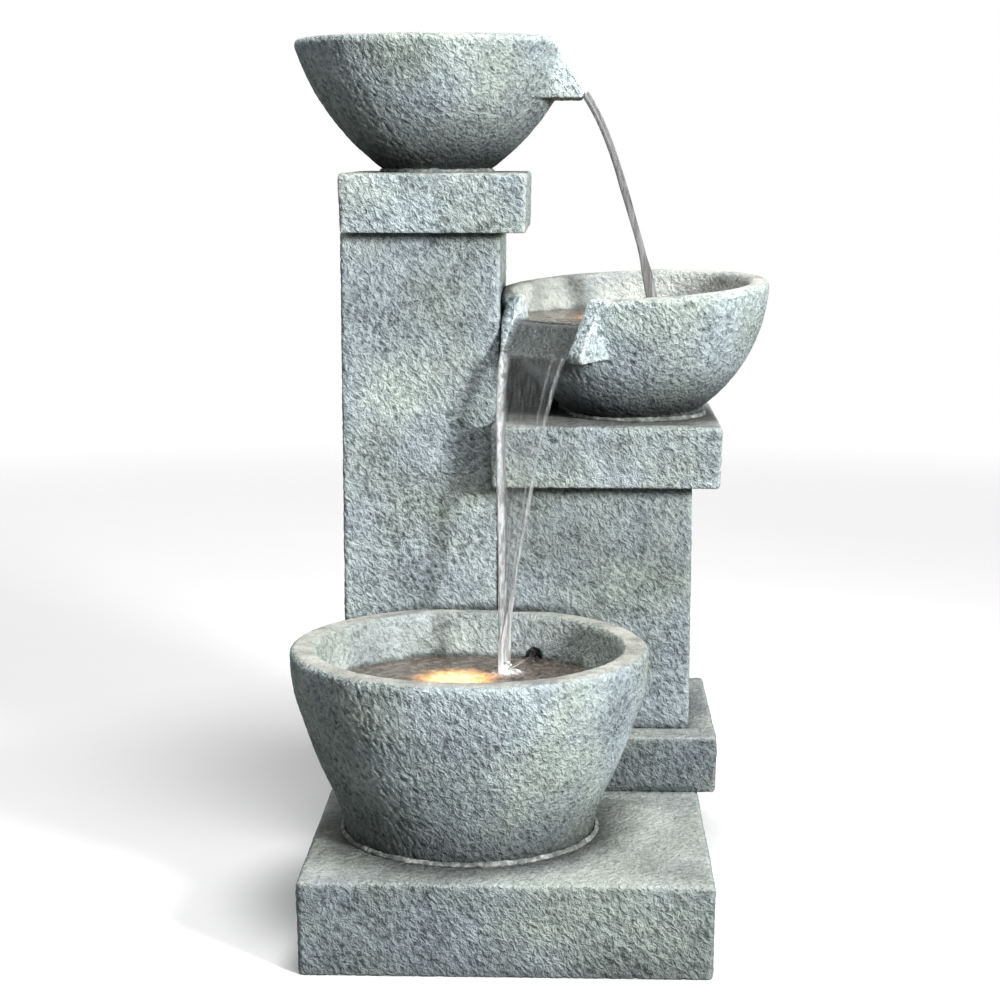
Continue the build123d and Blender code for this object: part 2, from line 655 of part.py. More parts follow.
def barbed_stub(plane, length):
    """Half section of a hose barb from a plane outwards, with three low ribs."""
    side = Plane(origin=plane.origin, x_dir=plane.x_dir, z_dir=-plane.y_dir)
    step = length / 3
    root_r, crest_r, bore_r = BARB_R - 0.5, BARB_R, FITTING_BORE_R
    outline = [(bore_r, 0), (root_r, 0)]
    for rib in range(3):
        outline += [(crest_r, rib * step + 0.4), (root_r, (rib + 1) * step)]
    outline += [(bore_r, length)]
    with BuildPart() as stub:
        with BuildSketch(side):
            Polygon(*outline, align=None)
        revolve(axis=Axis(plane.origin, plane.z_dir))
    return stub.part


FLANGE_T = 4.0
GASKET_T = 1.5
BARB_L = 13.0
wall_out = back_plane(WALL_FITTING_X, WALL_SEAT_Y - GASKET_T, WALL_FITTING_Z)
wall_in = Plane(origin=wall_out.origin, x_dir=(1, 0, 0), z_dir=(0, -1, 0))
tall_wall_inner = TALL_Y0 + COLUMN_WALL
fitting_end_y = tall_wall_inner + 7
with BuildPart() as wall_fitting:
    add(ring(wall_out, THREAD_R, FITTING_BORE_R, fitting_end_y - WALL_SEAT_Y + GASKET_T))
    add(ring(wall_in, NUT_R - 1, FITTING_BORE_R, FLANGE_T - 1))
    add(barbed_stub(wall_in.offset(FLANGE_T - 1), BARB_L))
    add(barbed_stub(back_plane(WALL_FITTING_X, fitting_end_y, WALL_FITTING_Z), BARB_L))
finish(wall_fitting.part, "wall_fitting")
finish(ring(wall_out, NUT_R - 1, THREAD_R + SEAT_PLAY, GASKET_T), "wall_fitting_gasket")
nut_plane = back_plane(WALL_FITTING_X, tall_wall_inner, WALL_FITTING_Z)
finish(hex_nut(nut_plane, NUT_R, THREAD_R, HOSE_NUT_T), "wall_fitting_nut")

INLET_TAIL = 8.0  # thread below the cap
inlet_top = Plane(origin=(TOP_X, TOP_Y, TALL_CAP_TOP + BOWL_FLOOR + GASKET_T))
inlet_nut_z = TALL_CAP_TOP - CAP_WALL
inlet_down = Plane(origin=(TOP_X, TOP_Y, inlet_nut_z - INLET_TAIL), x_dir=(1, 0, 0), z_dir=(0, 0, -1))
with BuildPart() as bowl_inlet:
    add(ring(inlet_top, NUT_R - 1, FITTING_BORE_R, FLANGE_T - 1))
    add(ring(inlet_top.offset(FLANGE_T - 1), 6.0, FITTING_BORE_R, 9.0))
    inlet_thread_l = inlet_top.origin.Z - inlet_nut_z + INLET_TAIL
    add(ring(Plane(origin=inlet_down.origin), THREAD_R, FITTING_BORE_R, inlet_thread_l))
    add(barbed_stub(inlet_down, BARB_L - 4))
finish(bowl_inlet.part, "bowl_inlet")
finish(ring(inlet_top.offset(-GASKET_T), NUT_R - 1, THREAD_R + SEAT_PLAY, GASKET_T), "bowl_inlet_gasket")
under_cap = Plane(origin=(TOP_X, TOP_Y, inlet_nut_z - HOSE_NUT_T))
finish(hex_nut(under_cap, NUT_R, THREAD_R, HOSE_NUT_T), "bowl_inlet_nut")

LAMP_GLAND_HEAD_R, LAMP_GLAND_HEAD_T = 10.0, 3.0
LAMP_GLAND_NUT_T = 5.0
gland_top = Plane(origin=(*middle_gland, SHORT_CAP_TOP + BOWL_FLOOR + FLANGE_T - 1))
gland_foot_z = SHORT_CAP_TOP - CAP_WALL - 8
with BuildPart() as middle_lamp_gland:
    add(ring(gland_top, LAMP_GLAND_HEAD_R, LEAD_OD / 2 + LEAD_BORE_PLAY, LAMP_GLAND_HEAD_T))
    gland_body = Plane(origin=(*middle_gland, gland_foot_z))
    add(ring(gland_body, MIDDLE_GLAND_R, LEAD_OD / 2 + LEAD_BORE_PLAY, gland_top.origin.Z - gland_foot_z))
finish(middle_lamp_gland.part, "middle_lamp_gland")
gland_nut_plane = Plane(origin=(*middle_gland, SHORT_CAP_TOP - CAP_WALL - LAMP_GLAND_NUT_T))
finish(hex_nut(gland_nut_plane, LAMP_GLAND_HEAD_R, MIDDLE_GLAND_R, LAMP_GLAND_NUT_T), "middle_lamp_gland_nut")

CLAMP_BAND_T, CLAMP_W = 1.2, 5.0
EAR_OUT, EAR_LONG = 3.2, 4.4
clamp_planes = [
    Plane(origin=(PUMP_X, NOZZLE_Y, PUMP_TOP_Z + 3)),
    back_plane(WALL_FITTING_X, 16.0, WALL_FITTING_Z),
    back_plane(WALL_FITTING_X, 69.0, WALL_FITTING_Z),
    Plane(origin=(TOP_X, TOP_Y, 663.5)),
]
with BuildPart() as hose_clamps:
    for plane in clamp_planes:
        add(ring(plane, HOSE_OD / 2 + CLAMP_BAND_T, HOSE_OD / 2, CLAMP_W))
        with BuildSketch(plane):
            with Locations((HOSE_OD / 2 + EAR_OUT, 0)):
                Rectangle(EAR_LONG, CLAMP_W)
        extrude(amount=CLAMP_W)
finish(hose_clamps.part, "hose_clamps")


# ---------------------------------------------------------------- pump

PUMP_MID_Y = (PUMP_FRONT_Y + PUMP_BACK_Y) / 2
PUMP_MID_Z = (PUMP_BASE_Z + PUMP_TOP_Z) / 2
VOLUTE_R, VOLUTE_DEEP = 16.0, 14.0
WELL_R, WELL_DEEP = 10.0, 26.0
NOZZLE_R = 6.0
NOZZLE_SOCKET = 6.8
SEAT_R, SEAT_DEEP = 4.0, 4.0  # shaft bush behind the magnet
HUB_R = 4.2
VANES, VANE_L, VANE_T = 6, 9.0, 1.6
volute_end = PUMP_FRONT_Y + VOLUTE_DEEP
well_end = volute_end + WELL_DEEP
pump_front = back_plane(PUMP_X, PUMP_FRONT_Y, PUMP_AXIS_Z)

with BuildPart() as pump_housing:
    with BuildSketch(back_plane(PUMP_X, PUMP_FRONT_Y, PUMP_MID_Z)):
        RectangleRounded(2 * PUMP_HALF_W, PUMP_TOP_Z - PUMP_BASE_Z, 5)
    extrude(amount=PUMP_BACK_Y - PUMP_FRONT_Y)
    fillet(pump_housing.faces().sort_by(Axis.Y)[-1].edges(), radius=3)
    with BuildSketch(pump_front):
        Circle(VOLUTE_R)
    extrude(amount=VOLUTE_DEEP, mode=Mode.SUBTRACT)
    with BuildSketch(pump_front):
        Circle(WELL_R)
    extrude(amount=well_end - PUMP_FRONT_Y, mode=Mode.SUBTRACT)
    with BuildSketch(pump_front):
        Circle(SEAT_R)
    extrude(amount=well_end - PUMP_FRONT_Y + SEAT_DEEP, mode=Mode.SUBTRACT)
    with BuildSketch(Plane(origin=(PUMP_X, NOZZLE_Y, PUMP_TOP_Z + 1))):
        Circle(NOZZLE_R)
    extrude(amount=-12, mode=Mode.SUBTRACT)
finish(pump_housing.part, "pump_housing")

nozzle_base = Plane(origin=(PUMP_X, NOZZLE_Y, PUMP_TOP_Z - 6))
with BuildPart() as pump_nozzle:
    add(ring(nozzle_base, NOZZLE_R, FITTING_BORE_R, NOZZLE_SOCKET))
    add(barbed_stub(nozzle_base.offset(NOZZLE_SOCKET), BARB_L - 2))
finish(pump_nozzle.part, "pump_nozzle")

foot_spots = [(sx * 15.0, sy * 18.0) for sx in (-1, 1) for sy in (-1, 1)]
with BuildPart() as pump_feet:
    for foot_x, foot_y in foot_spots:
        x, y = PUMP_X + foot_x, PUMP_MID_Y + foot_y
        with BuildSketch(Plane(origin=(x, y, floor_z), x_dir=(1, 0, 0), z_dir=(0, -1, 0))):
            Polygon((0, 1.5), (3, 1.2), (6.5, 0), (7, 0), (4, 2.6), (2.5, 5), (0, 5), align=None)
        revolve(axis=Axis((x, y, 0), (0, 0, 1)))
finish(pump_feet.part, "pump_feet")

with BuildPart() as impeller_shaft:
    with BuildSketch(back_plane(PUMP_X, PUMP_FRONT_Y - 2, PUMP_AXIS_Z)):
        Circle(SHAFT_R)
    extrude(amount=well_end - PUMP_FRONT_Y + 5)
finish(impeller_shaft.part, "impeller_shaft")
rear_bush = ring(back_plane(PUMP_X, well_end, PUMP_AXIS_Z), SEAT_R, SHAFT_R, SEAT_DEEP)
finish(rear_bush, "rear_shaft_bush")

magnet_start = volute_end + 1.0
finish(
    ring(back_plane(PUMP_X, magnet_start, PUMP_AXIS_Z), WELL_R - 0.5, HUB_R, WELL_DEEP - 3), "rotor_magnet"
)
with BuildPart() as impeller:
    with BuildSketch(back_plane(PUMP_X, volute_end - 1.0, PUMP_AXIS_Z)):
        Circle(HUB_R)
    extrude(amount=WELL_DEEP - 0.5)
    with BuildSketch(back_plane(PUMP_X, volute_end - 2.0, PUMP_AXIS_Z)):
        Circle(VOLUTE_R - 3)
    extrude(amount=VANE_T)
    with BuildSketch(back_plane(PUMP_X, PUMP_FRONT_Y + 2, PUMP_AXIS_Z)):
        Circle(HUB_R)
        with PolarLocations(7.0, VANES):
            Rectangle(VANE_L, VANE_T)
    extrude(amount=VOLUTE_DEEP - 3.5)
    with BuildSketch(back_plane(PUMP_X, PUMP_FRONT_Y - 5, PUMP_AXIS_Z)):
        Circle(SHAFT_R + RUN_GAP)
    extrude(amount=60, mode=Mode.SUBTRACT)
finish(impeller.part, "impeller")

COVER_T = 3.0
INTAKE_R, BUSH_HOLDER_R, BUSH_R = 8.0, 4.5, 3.0
cover_front_y = PUMP_FRONT_Y - 0.2 - COVER_T
with BuildPart() as chamber_cover:
    with BuildSketch(back_plane(PUMP_X, cover_front_y, PUMP_MID_Z)):
        RectangleRounded(2 * PUMP_HALF_W - 2, PUMP_TOP_Z - PUMP_BASE_Z - 2, 5)
    extrude(amount=COVER_T)
    with BuildSketch(back_plane(PUMP_X, cover_front_y - 1, PUMP_AXIS_Z)):
        Circle(INTAKE_R)
        Circle(BUSH_HOLDER_R, mode=Mode.SUBTRACT)
        with PolarLocations(6, 3):
            Rectangle(6, 2, mode=Mode.SUBTRACT)
    extrude(amount=COVER_T + 2, mode=Mode.SUBTRACT)
    with BuildSketch(back_plane(PUMP_X, cover_front_y - 1, PUMP_AXIS_Z)):
        Circle(BUSH_R)
    extrude(amount=COVER_T + 2, mode=Mode.SUBTRACT)
finish(chamber_cover.part, "chamber_cover")
front_bush = ring(back_plane(PUMP_X, cover_front_y, PUMP_AXIS_Z), BUSH_R, SHAFT_R + RUN_GAP, COVER_T)
finish(front_bush, "front_shaft_bush")

STRAINER_DEEP = 15.0
STRAINER_SKIN = 2.0
STEM_R = 2.5
DIAL_R, DIAL_T = 8.0, 3.0
DIAL_GAP = 0.3
strainer_front_y = cover_front_y - STRAINER_DEEP
with BuildPart() as intake_strainer:
    with BuildSketch(back_plane(PUMP_X, strainer_front_y, PUMP_MID_Z)):
        RectangleRounded(2 * PUMP_HALF_W - 2, PUMP_TOP_Z - PUMP_BASE_Z - 2, 5)
    extrude(amount=STRAINER_DEEP)
    fillet(intake_strainer.faces().sort_by(Axis.Y)[0].edges(), radius=1.5)
    with BuildSketch(back_plane(PUMP_X, strainer_front_y + STRAINER_SKIN, PUMP_MID_Z)):
        RectangleRounded(2 * PUMP_HALF_W - 6, PUMP_TOP_Z - PUMP_BASE_Z - 6, 3)
    extrude(amount=STRAINER_DEEP, mode=Mode.SUBTRACT)
    with BuildSketch(back_plane(PUMP_X, strainer_front_y - 1, PUMP_MID_Z)):
        with GridLocations(5.0, 25.0, 7, 2):
            SlotOverall(10.0, 2.4, rotation=90)
        with Locations((0, PUMP_AXIS_Z - PUMP_MID_Z)):
            Circle(STEM_R + RUN_GAP)
    extrude(amount=STRAINER_SKIN + 2, mode=Mode.SUBTRACT)
finish(intake_strainer.part, "intake_strainer")

with BuildPart() as flow_dial:
    with BuildSketch(back_plane(PUMP_X, strainer_front_y - DIAL_GAP - DIAL_T, PUMP_AXIS_Z)):
        Circle(DIAL_R)
    extrude(amount=DIAL_T)
    with BuildSketch(back_plane(PUMP_X, strainer_front_y - DIAL_GAP - 2 * DIAL_T, PUMP_AXIS_Z)):
        RectangleRounded(2 * DIAL_R - 2, DIAL_T, 1)
    extrude(amount=DIAL_T)
    with BuildSketch(back_plane(PUMP_X, strainer_front_y - 0.5, PUMP_AXIS_Z)):
        Circle(STEM_R)
    extrude(amount=5.0)
finish(flow_dial.part, "flow_dial")


# ---------------------------------------------------------------- lamps


CUP_H, CUP_FLOOR = 15.0, 4.0
BOARD_LIFT, BOARD_T = 8.0, 1.6
THREAD_LIFT = 9.5
LENS_T = 2.0


def make_lamp(base, name):
    """A sealed round lamp standing on a plane: cup, board, lens and screw ring."""
    with BuildPart() as cup:
        with BuildSketch(base):
            Circle(LAMP_R - 2)
        extrude(amount=CUP_H)
        with BuildSketch(base):
            Circle(LAMP_R)
        extrude(amount=THREAD_LIFT)
        with BuildSketch(base.offset(CUP_FLOOR)):
            Circle(LAMP_R - 4)
        extrude(amount=12, mode=Mode.SUBTRACT)
    finish(cup.part, f"{name}_body")
    with BuildPart() as board:
        with BuildSketch(base.offset(BOARD_LIFT)):
            Circle(LAMP_R - 4.2)
        extrude(amount=BOARD_T)
        with BuildSketch(base.offset(BOARD_LIFT + BOARD_T)):
            with GridLocations(9, 9, 2, 2):
                Rectangle(3, 3)
        extrude(amount=1.2)
    finish(board.part, f"{name}_board")
    with BuildPart() as lens:
        with BuildSketch(base.offset(CUP_H)):
            Circle(LAMP_R - 2)
        extrude(amount=LENS_T)
        with BuildSketch(base.offset(CUP_H + LENS_T)):
            Circle(LAMP_R - 6)
        extrude(amount=3.5, taper=25)
    finish(lens.part, f"{name}_lens")
    with BuildPart() as screw_ring:
        with BuildSketch(base.offset(THREAD_LIFT + 0.1)):
            Circle(LAMP_R)
            Circle(LAMP_R - 1.95, mode=Mode.SUBTRACT)
        extrude(amount=CUP_H + LENS_T - THREAD_LIFT - 0.1)
        with BuildSketch(base.offset(CUP_H + LENS_T)):
            Circle(LAMP_R)
            Circle(LAMP_R - 5.8, mode=Mode.SUBTRACT)
        extrude(amount=LENS_T)
    finish(screw_ring.part, f"{name}_ring")


make_lamp(Plane(origin=(*BASIN_LAMP, floor_z)), "basin_lamp")
lamp_origin = middle_frame.origin + middle_frame.x_dir * LAMP_D + middle_frame.z_dir * BOWL_FLOOR
make_lamp(Plane(origin=lamp_origin, x_dir=middle_frame.x_dir, z_dir=middle_frame.z_dir), "middle_lamp")


# ---------------------------------------------------------------- rear hatch

MAGNET_DEEP = 2.5
hatch_inner_y = SHORT_Y1 - HATCH_SKIN
with BuildPart() as access_cover:
    with BuildSketch(back_plane(HATCH_X, hatch_inner_y, HATCH_Z)):
        RectangleRounded(rebate_w - 1, rebate_h - 1, 8.5)
    extrude(amount=HATCH_SKIN)
    fillet(access_cover.faces().sort_by(Axis.Y)[-1].edges(), radius=1.5)
    with BuildSketch(back_plane(HATCH_X, hatch_inner_y - 3, HATCH_Z)):
        RectangleRounded(HATCH_W - 1, HATCH_H - 1, 5.5)
    extrude(amount=3.5)
    with BuildSketch(back_plane(HATCH_X, hatch_inner_y, HATCH_Z)):
        with Locations(*strike_spots):
            Circle(STRIKE_R)
    extrude(amount=MAGNET_DEEP, mode=Mode.SUBTRACT)
finish(access_cover.part, "access_cover")


def disc_group(y, length):
    """Four equal discs at the hatch's corners, along the ledge."""
    with BuildPart() as discs:
        with BuildSketch(back_plane(HATCH_X, y, HATCH_Z)):
            with Locations(*strike_spots):
                Circle(STRIKE_R)
        extrude(amount=length)
    return discs.part


finish(disc_group(hatch_inner_y, MAGNET_DEEP), "cover_magnets")
finish(disc_group(ledge_y - STRIKE_DEEP, STRIKE_DEEP), "strike_discs")


# ---------------------------------------------------------------- junction box and gland

box_mid = ((BOX_X0 + BOX_X1) / 2, (BOX_Z0 + BOX_Z1) / 2)
box_w, box_h = BOX_X1 - BOX_X0, BOX_Z1 - BOX_Z0
SCREW_R, SCREW_HEAD_R, SCREW_HEAD_T = 1.4, 2.6, 1.8
screw_spots = [(sx * (box_w / 2 - 4), sz * (box_h / 2 - 4)) for sx in (-1, 1) for sz in (-1, 1)]

with BuildPart() as junction_box:
    with BuildSketch(back_plane(box_mid[0], BOX_Y0, box_mid[1])):
        RectangleRounded(box_w, box_h, 2)
    extrude(amount=BOX_Y1 - BOX_Y0)
    with BuildSketch(back_plane(box_mid[0], BOX_Y0, box_mid[1])):
        RectangleRounded(box_w - 2 * BOX_WALL, box_h - 2 * BOX_WALL, 1)
        with Locations(*screw_spots):
            Rectangle(6, 6, mode=Mode.SUBTRACT)
    extrude(amount=BOX_Y1 - BOX_Y0 - BOX_WALL, mode=Mode.SUBTRACT)
    with BuildSketch(back_plane(box_mid[0], BOX_Y0, box_mid[1])):
        with Locations(*screw_spots):
            Circle(SCREW_R)
    extrude(amount=10, mode=Mode.SUBTRACT)
    with BuildSketch(back_plane(GLAND_X, BOX_Y1 - BOX_WALL - 1, GLAND_Z)):
        Circle(GLAND_BODY_R + 0.2)
    extrude(amount=BOX_WALL + 2, mode=Mode.SUBTRACT)
    with BuildSketch(Plane.XY.offset(BOX_Z1 - BOX_WALL - 1)):
        with Locations(*box_entries):
            Circle(LEAD_OD / 2 + 0.1)
    extrude(amount=BOX_WALL + 2, mode=Mode.SUBTRACT)
finish(junction_box.part, "junction_box")

LID_T = 2.5
with BuildPart() as junction_box_lid:
    with BuildSketch(back_plane(box_mid[0], BOX_Y0 - LID_T, box_mid[1])):
        RectangleRounded(box_w, box_h, 2)
        with Locations(*screw_spots):
            Circle(SCREW_R + 0.1, mode=Mode.SUBTRACT)
    extrude(amount=LID_T)
finish(junction_box_lid.part, "junction_box_lid")

with BuildPart() as lid_screws:
    with BuildSketch(back_plane(box_mid[0], BOX_Y0 - LID_T, box_mid[1])):
        with Locations(*screw_spots):
            Circle(SCREW_R)
    extrude(amount=LID_T + 8)
    with BuildSketch(back_plane(box_mid[0], BOX_Y0 - LID_T - SCREW_HEAD_T, box_mid[1])):
        with Locations(*screw_spots):
            Circle(SCREW_HEAD_R)
    extrude(amount=SCREW_HEAD_T)
    with BuildSketch(back_plane(box_mid[0], BOX_Y0 - LID_T - SCREW_HEAD_T, box_mid[1])):
        with Locations(*screw_spots):
            Rectangle(3.2, 0.8)
            Rectangle(0.8, 3.2)
    extrude(amount=1.0, mode=Mode.SUBTRACT)
finish(lid_screws.part, "lid_screws")

CAP_NUT_L = 8.0
gland_inner_y = BOX_Y1 - BOX_WALL - 6
gland_length = SHORT_Y1 + GLAND_NUT_T + CAP_NUT_L - gland_inner_y
with BuildPart() as cable_gland:
    add(ring(back_plane(GLAND_X, gland_inner_y, GLAND_Z), GLAND_BODY_R, GLAND_BORE_R, gland_length))
    add(hex_nut(back_plane(GLAND_X, SHORT_Y1, GLAND_Z), GLAND_HEX_R, GLAND_BORE_R, GLAND_NUT_T))
finish(cable_gland.part, "cable_gland")
lock_nut_plane = back_plane(GLAND_X, BOX_Y1 - BOX_WALL - GLAND_NUT_T, GLAND_Z)
finish(hex_nut(lock_nut_plane, GLAND_HEX_R - 1, GLAND_BODY_R, GLAND_NUT_T), "gland_lock_nut")
with BuildPart() as gland_cap_nut:
    with BuildSketch(back_plane(GLAND_X, SHORT_Y1 + GLAND_NUT_T + 0.5, GLAND_Z)):
        RegularPolygon(GLAND_HEX_R - 0.5, 6)
        Circle(GLAND_BODY_R, mode=Mode.SUBTRACT)
    extrude(amount=CAP_NUT_L)
    with BuildSketch(back_plane(GLAND_X, SHORT_Y1 + GLAND_NUT_T + 0.5 + CAP_NUT_L, GLAND_Z)):
        Circle(GLAND_HEX_R - 2)
        Circle(GLAND_BORE_R + 0.6, mode=Mode.SUBTRACT)
    extrude(amount=4.0, taper=12)
finish(gland_cap_nut.part, "gland_cap_nut")
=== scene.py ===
"""Looks of the tiered fountain: worked cast stone, running water, lamp light, hoses and fittings."""

import json
import math

import bmesh
import bpy
import numpy as np
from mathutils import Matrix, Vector
from mathutils.bvhtree import BVHTree


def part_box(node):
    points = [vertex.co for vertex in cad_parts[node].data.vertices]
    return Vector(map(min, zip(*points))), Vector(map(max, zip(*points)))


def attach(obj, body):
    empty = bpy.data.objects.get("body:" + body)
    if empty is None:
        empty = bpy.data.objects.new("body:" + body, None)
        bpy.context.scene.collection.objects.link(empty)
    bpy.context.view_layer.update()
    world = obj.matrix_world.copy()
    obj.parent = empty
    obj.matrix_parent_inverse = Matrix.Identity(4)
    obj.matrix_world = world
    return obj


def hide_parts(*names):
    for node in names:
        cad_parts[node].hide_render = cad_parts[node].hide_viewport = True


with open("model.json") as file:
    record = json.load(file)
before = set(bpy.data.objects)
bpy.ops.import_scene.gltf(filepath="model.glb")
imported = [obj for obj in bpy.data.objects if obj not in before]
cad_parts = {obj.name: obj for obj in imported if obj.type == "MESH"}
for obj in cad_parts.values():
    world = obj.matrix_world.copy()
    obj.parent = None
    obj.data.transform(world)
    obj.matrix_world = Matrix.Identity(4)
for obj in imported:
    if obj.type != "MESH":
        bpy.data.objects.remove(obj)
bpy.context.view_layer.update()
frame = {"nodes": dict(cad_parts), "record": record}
NODES = frame["nodes"]
ROOT = "fountain"
GRAVITY = 9.81

# ---------------------------------------------------------------- numbers of the design, in metres

MIDDLE_AXIS = (0.1065, 0.1145)
MIDDLE_FOOT_Z, MIDDLE_H = 0.4505, 0.1315
MIDDLE_TILT = math.radians(3.8)
SPOUT_AZIMUTH = math.radians(228.0)
TOP_AXIS = (-0.0955, 0.1295)
TOP_FOOT_Z, TOP_H = 0.6925, 0.1305
CHANNEL_HALF_W = 0.0425
WEIR_D = 0.123
BASIN_LEVEL, MIDDLE_LEVEL, TOP_LEVEL = 0.217, 0.5497, 0.7992
BASIN_AXIS = (-0.053, -0.1055)
UPPER_LANDING = (0.1215, 0.1295)
LOWER_LANDING = (-0.019, -0.037)

# ---------------------------------------------------------------- noise and mesh helpers

draws = np.random.RandomState(11)
GRADIENTS = draws.normal(size=(256, 3))
GRADIENTS /= np.linalg.norm(GRADIENTS, axis=1)[:, None]
SHUFFLE = draws.permutation(256)


def noise(points, seed=0):
    """Gradient noise, about -1 to 1."""
    p = points + seed * 17.31
    cell = np.floor(p).astype(np.int64)
    f = p - cell
    w = f * f * f * (f * (f * 6 - 15) + 10)
    total = np.zeros(len(p))
    for dx in (0, 1):
        hx = SHUFFLE[(cell[:, 0] + dx) & 255]
        wx = w[:, 0] if dx else 1 - w[:, 0]
        for dy in (0, 1):
            hy = SHUFFLE[(hx + cell[:, 1] + dy) & 255]
            wy = wx * (w[:, 1] if dy else 1 - w[:, 1])
            for dz in (0, 1):
                g = GRADIENTS[SHUFFLE[(hy + cell[:, 2] + dz) & 255]]
                wz = wy * (w[:, 2] if dz else 1 - w[:, 2])
                total += wz * (g[:, 0] * (f[:, 0] - dx) + g[:, 1] * (f[:, 1] - dy) + g[:, 2] * (f[:, 2] - dz))
    return total * 1.6


def step(x, low, high):
    """Smooth step from 0 at low to 1 at high."""
    t = np.clip((x - low) / (high - low), 0, 1)
    return t * t * (3 - 2 * t)


def corners(mesh):
    co = np.zeros(len(mesh.vertices) * 3, np.float32)
    mesh.vertices.foreach_get("co", co)
    return co.reshape(-1, 3).astype(float)


def directions(mesh):
    no = np.zeros(len(mesh.vertices) * 3, np.float32)
    mesh.vertex_normals.foreach_get("vector", no)
    return no.reshape(-1, 3).astype(float)


def links(mesh):
    e = np.zeros(len(mesh.edges) * 2, np.int32)
    mesh.edges.foreach_get("vertices", e)
    return e.reshape(-1, 2)


def relaxed(values, edges, rounds):
    """Values averaged with their neighbours' values, a number of times."""
    out = np.array(values, float)
    n = len(out)
    count = np.bincount(edges.ravel(), minlength=n).astype(float)
    count[count == 0] = 1
    flat = out.reshape(n, -1)
    for _ in range(rounds):
        mean = np.empty_like(flat)
        for c in range(flat.shape[1]):
            column = flat[:, c]
            mean[:, c] = np.bincount(edges[:, 0], weights=column[edges[:, 1]], minlength=n)
            mean[:, c] += np.bincount(edges[:, 1], weights=column[edges[:, 0]], minlength=n)
        flat = 0.5 * flat + 0.5 * mean / count[:, None]
    return flat.reshape(out.shape)


def put(mesh, co):
    mesh.vertices.foreach_set("co", co.astype(np.float32).ravel())
    mesh.update()


def attribute(mesh, name, values):
    layer = mesh.attributes.new(name, "FLOAT", "POINT")
    layer.data.foreach_set("value", np.asarray(values, np.float32))


def new_object(name, mesh):
    obj = bpy.data.objects.new(name, mesh)
    bpy.context.scene.collection.objects.link(obj)
    return obj


def applied(obj):
    """The object's mesh with its modifiers applied."""
    bpy.context.view_layer.update()
    evaluated = obj.evaluated_get(bpy.context.evaluated_depsgraph_get())
    mesh = bpy.data.meshes.new_from_object(evaluated)
    obj.modifiers.clear()
    obj.data = mesh
    return mesh


def even_mesh(node, name, voxel):
    """A new object with the CAD node's shape as an even grid of small faces."""
    mesh = NODES[node].data.copy()
    mesh.materials.clear()
    bm = bmesh.new()
    bm.from_mesh(mesh)
    bmesh.ops.remove_doubles(bm, verts=bm.verts, dist=1e-6)
    bm.to_mesh(mesh)
    bm.free()
    obj = new_object(name, mesh)
    grid = obj.modifiers.new("grid", "REMESH")
    grid.mode = "VOXEL"
    grid.voxel_size = voxel
    applied(obj)
    return obj


def finish_piece(obj, material, body, replaced=()):
    """Smooth shading, one material, and the piece's place in the frame."""
    mesh = obj.data
    mesh.polygons.foreach_set("use_smooth", np.ones(len(mesh.polygons), bool))
    mesh.materials.clear()
    mesh.materials.append(material)
    mesh.update()
    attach(obj, body)
    if replaced:
        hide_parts(*replaced)
    return obj


# ---------------------------------------------------------------- material helpers


def add(tree, kind, inputs=None, **settings):
    """A shader node, with its settings and its inputs set or linked."""
    node = tree.nodes.new(kind)
    for key, value in settings.items():
        setattr(node, key, value)
    for key, value in (inputs or {}).items():
        if isinstance(value, bpy.types.NodeSocket):
            tree.links.new(value, node.inputs[key])
        else:
            node.inputs[key].default_value = value
    return node


def calc(tree, operation, a, b=0.0, clamp=False):
    return add(tree, "ShaderNodeMath", {0: a, 1: b}, operation=operation, use_clamp=clamp).outputs[0]


def span(tree, value, low, high, to_low=0.0, to_high=1.0):
    """Value mapped from one range to another, clamped."""
    inputs = {"Value": value, 1: low, 2: high, 3: to_low, 4: to_high}
    return add(tree, "ShaderNodeMapRange", inputs, clamp=True).outputs[0]


def blend(tree, share, a, b, mode="MIX"):
    node = add(tree, "ShaderNodeMix", data_type="RGBA", blend_type=mode)
    for index, value in ((0, share), (6, a), (7, b)):
        if isinstance(value, bpy.types.NodeSocket):
            tree.links.new(value, node.inputs[index])
        elif index:
            node.inputs[index].default_value = (*value, 1.0)
        else:
            node.inputs[index].default_value = value
    return node.outputs[2]


def ramp(tree, value, stops):
    node = add(tree, "ShaderNodeValToRGB", {"Fac": value})
    elements = node.color_ramp.elements
    while len(elements) < len(stops):
        elements.new(0.5)
    for element, (place, colour) in zip(elements, stops):
        element.position = place
        element.color = (*colour, 1.0)
    return node.outputs[0]


def reader(tree, name):
    return add(tree, "ShaderNodeAttribute", attribute_name=name).outputs["Fac"]


def texture(tree, place, scale, detail=2.0, roughness=0.5, distortion=0.0):
    inputs = {"Vector": place, "Scale": scale, "Detail": detail, "Roughness": roughness}
    inputs["Distortion"] = distortion
    return add(tree, "ShaderNodeTexNoise", inputs).outputs[0]


def object_place(tree, scale=(1, 1, 1)):
    place = add(tree, "ShaderNodeTexCoord").outputs["Object"]
    return add(tree, "ShaderNodeMapping", {"Vector": place, "Scale": scale}).outputs[0]


def weighed(tree, total, value, weight):
    """Total plus a value times its weight."""
    return calc(tree, "ADD", total, calc(tree, "MULTIPLY", value, weight))


def centred(tree, value):
    """A noise value moved to lie about 0."""
    return calc(tree, "SUBTRACT", value, 0.5)


def new_material(name):
    material = bpy.data.materials.new(name)
    material.use_nodes = True
    return material, material.node_tree, material.node_tree.nodes["Principled BSDF"]


# ---------------------------------------------------------------- stone material

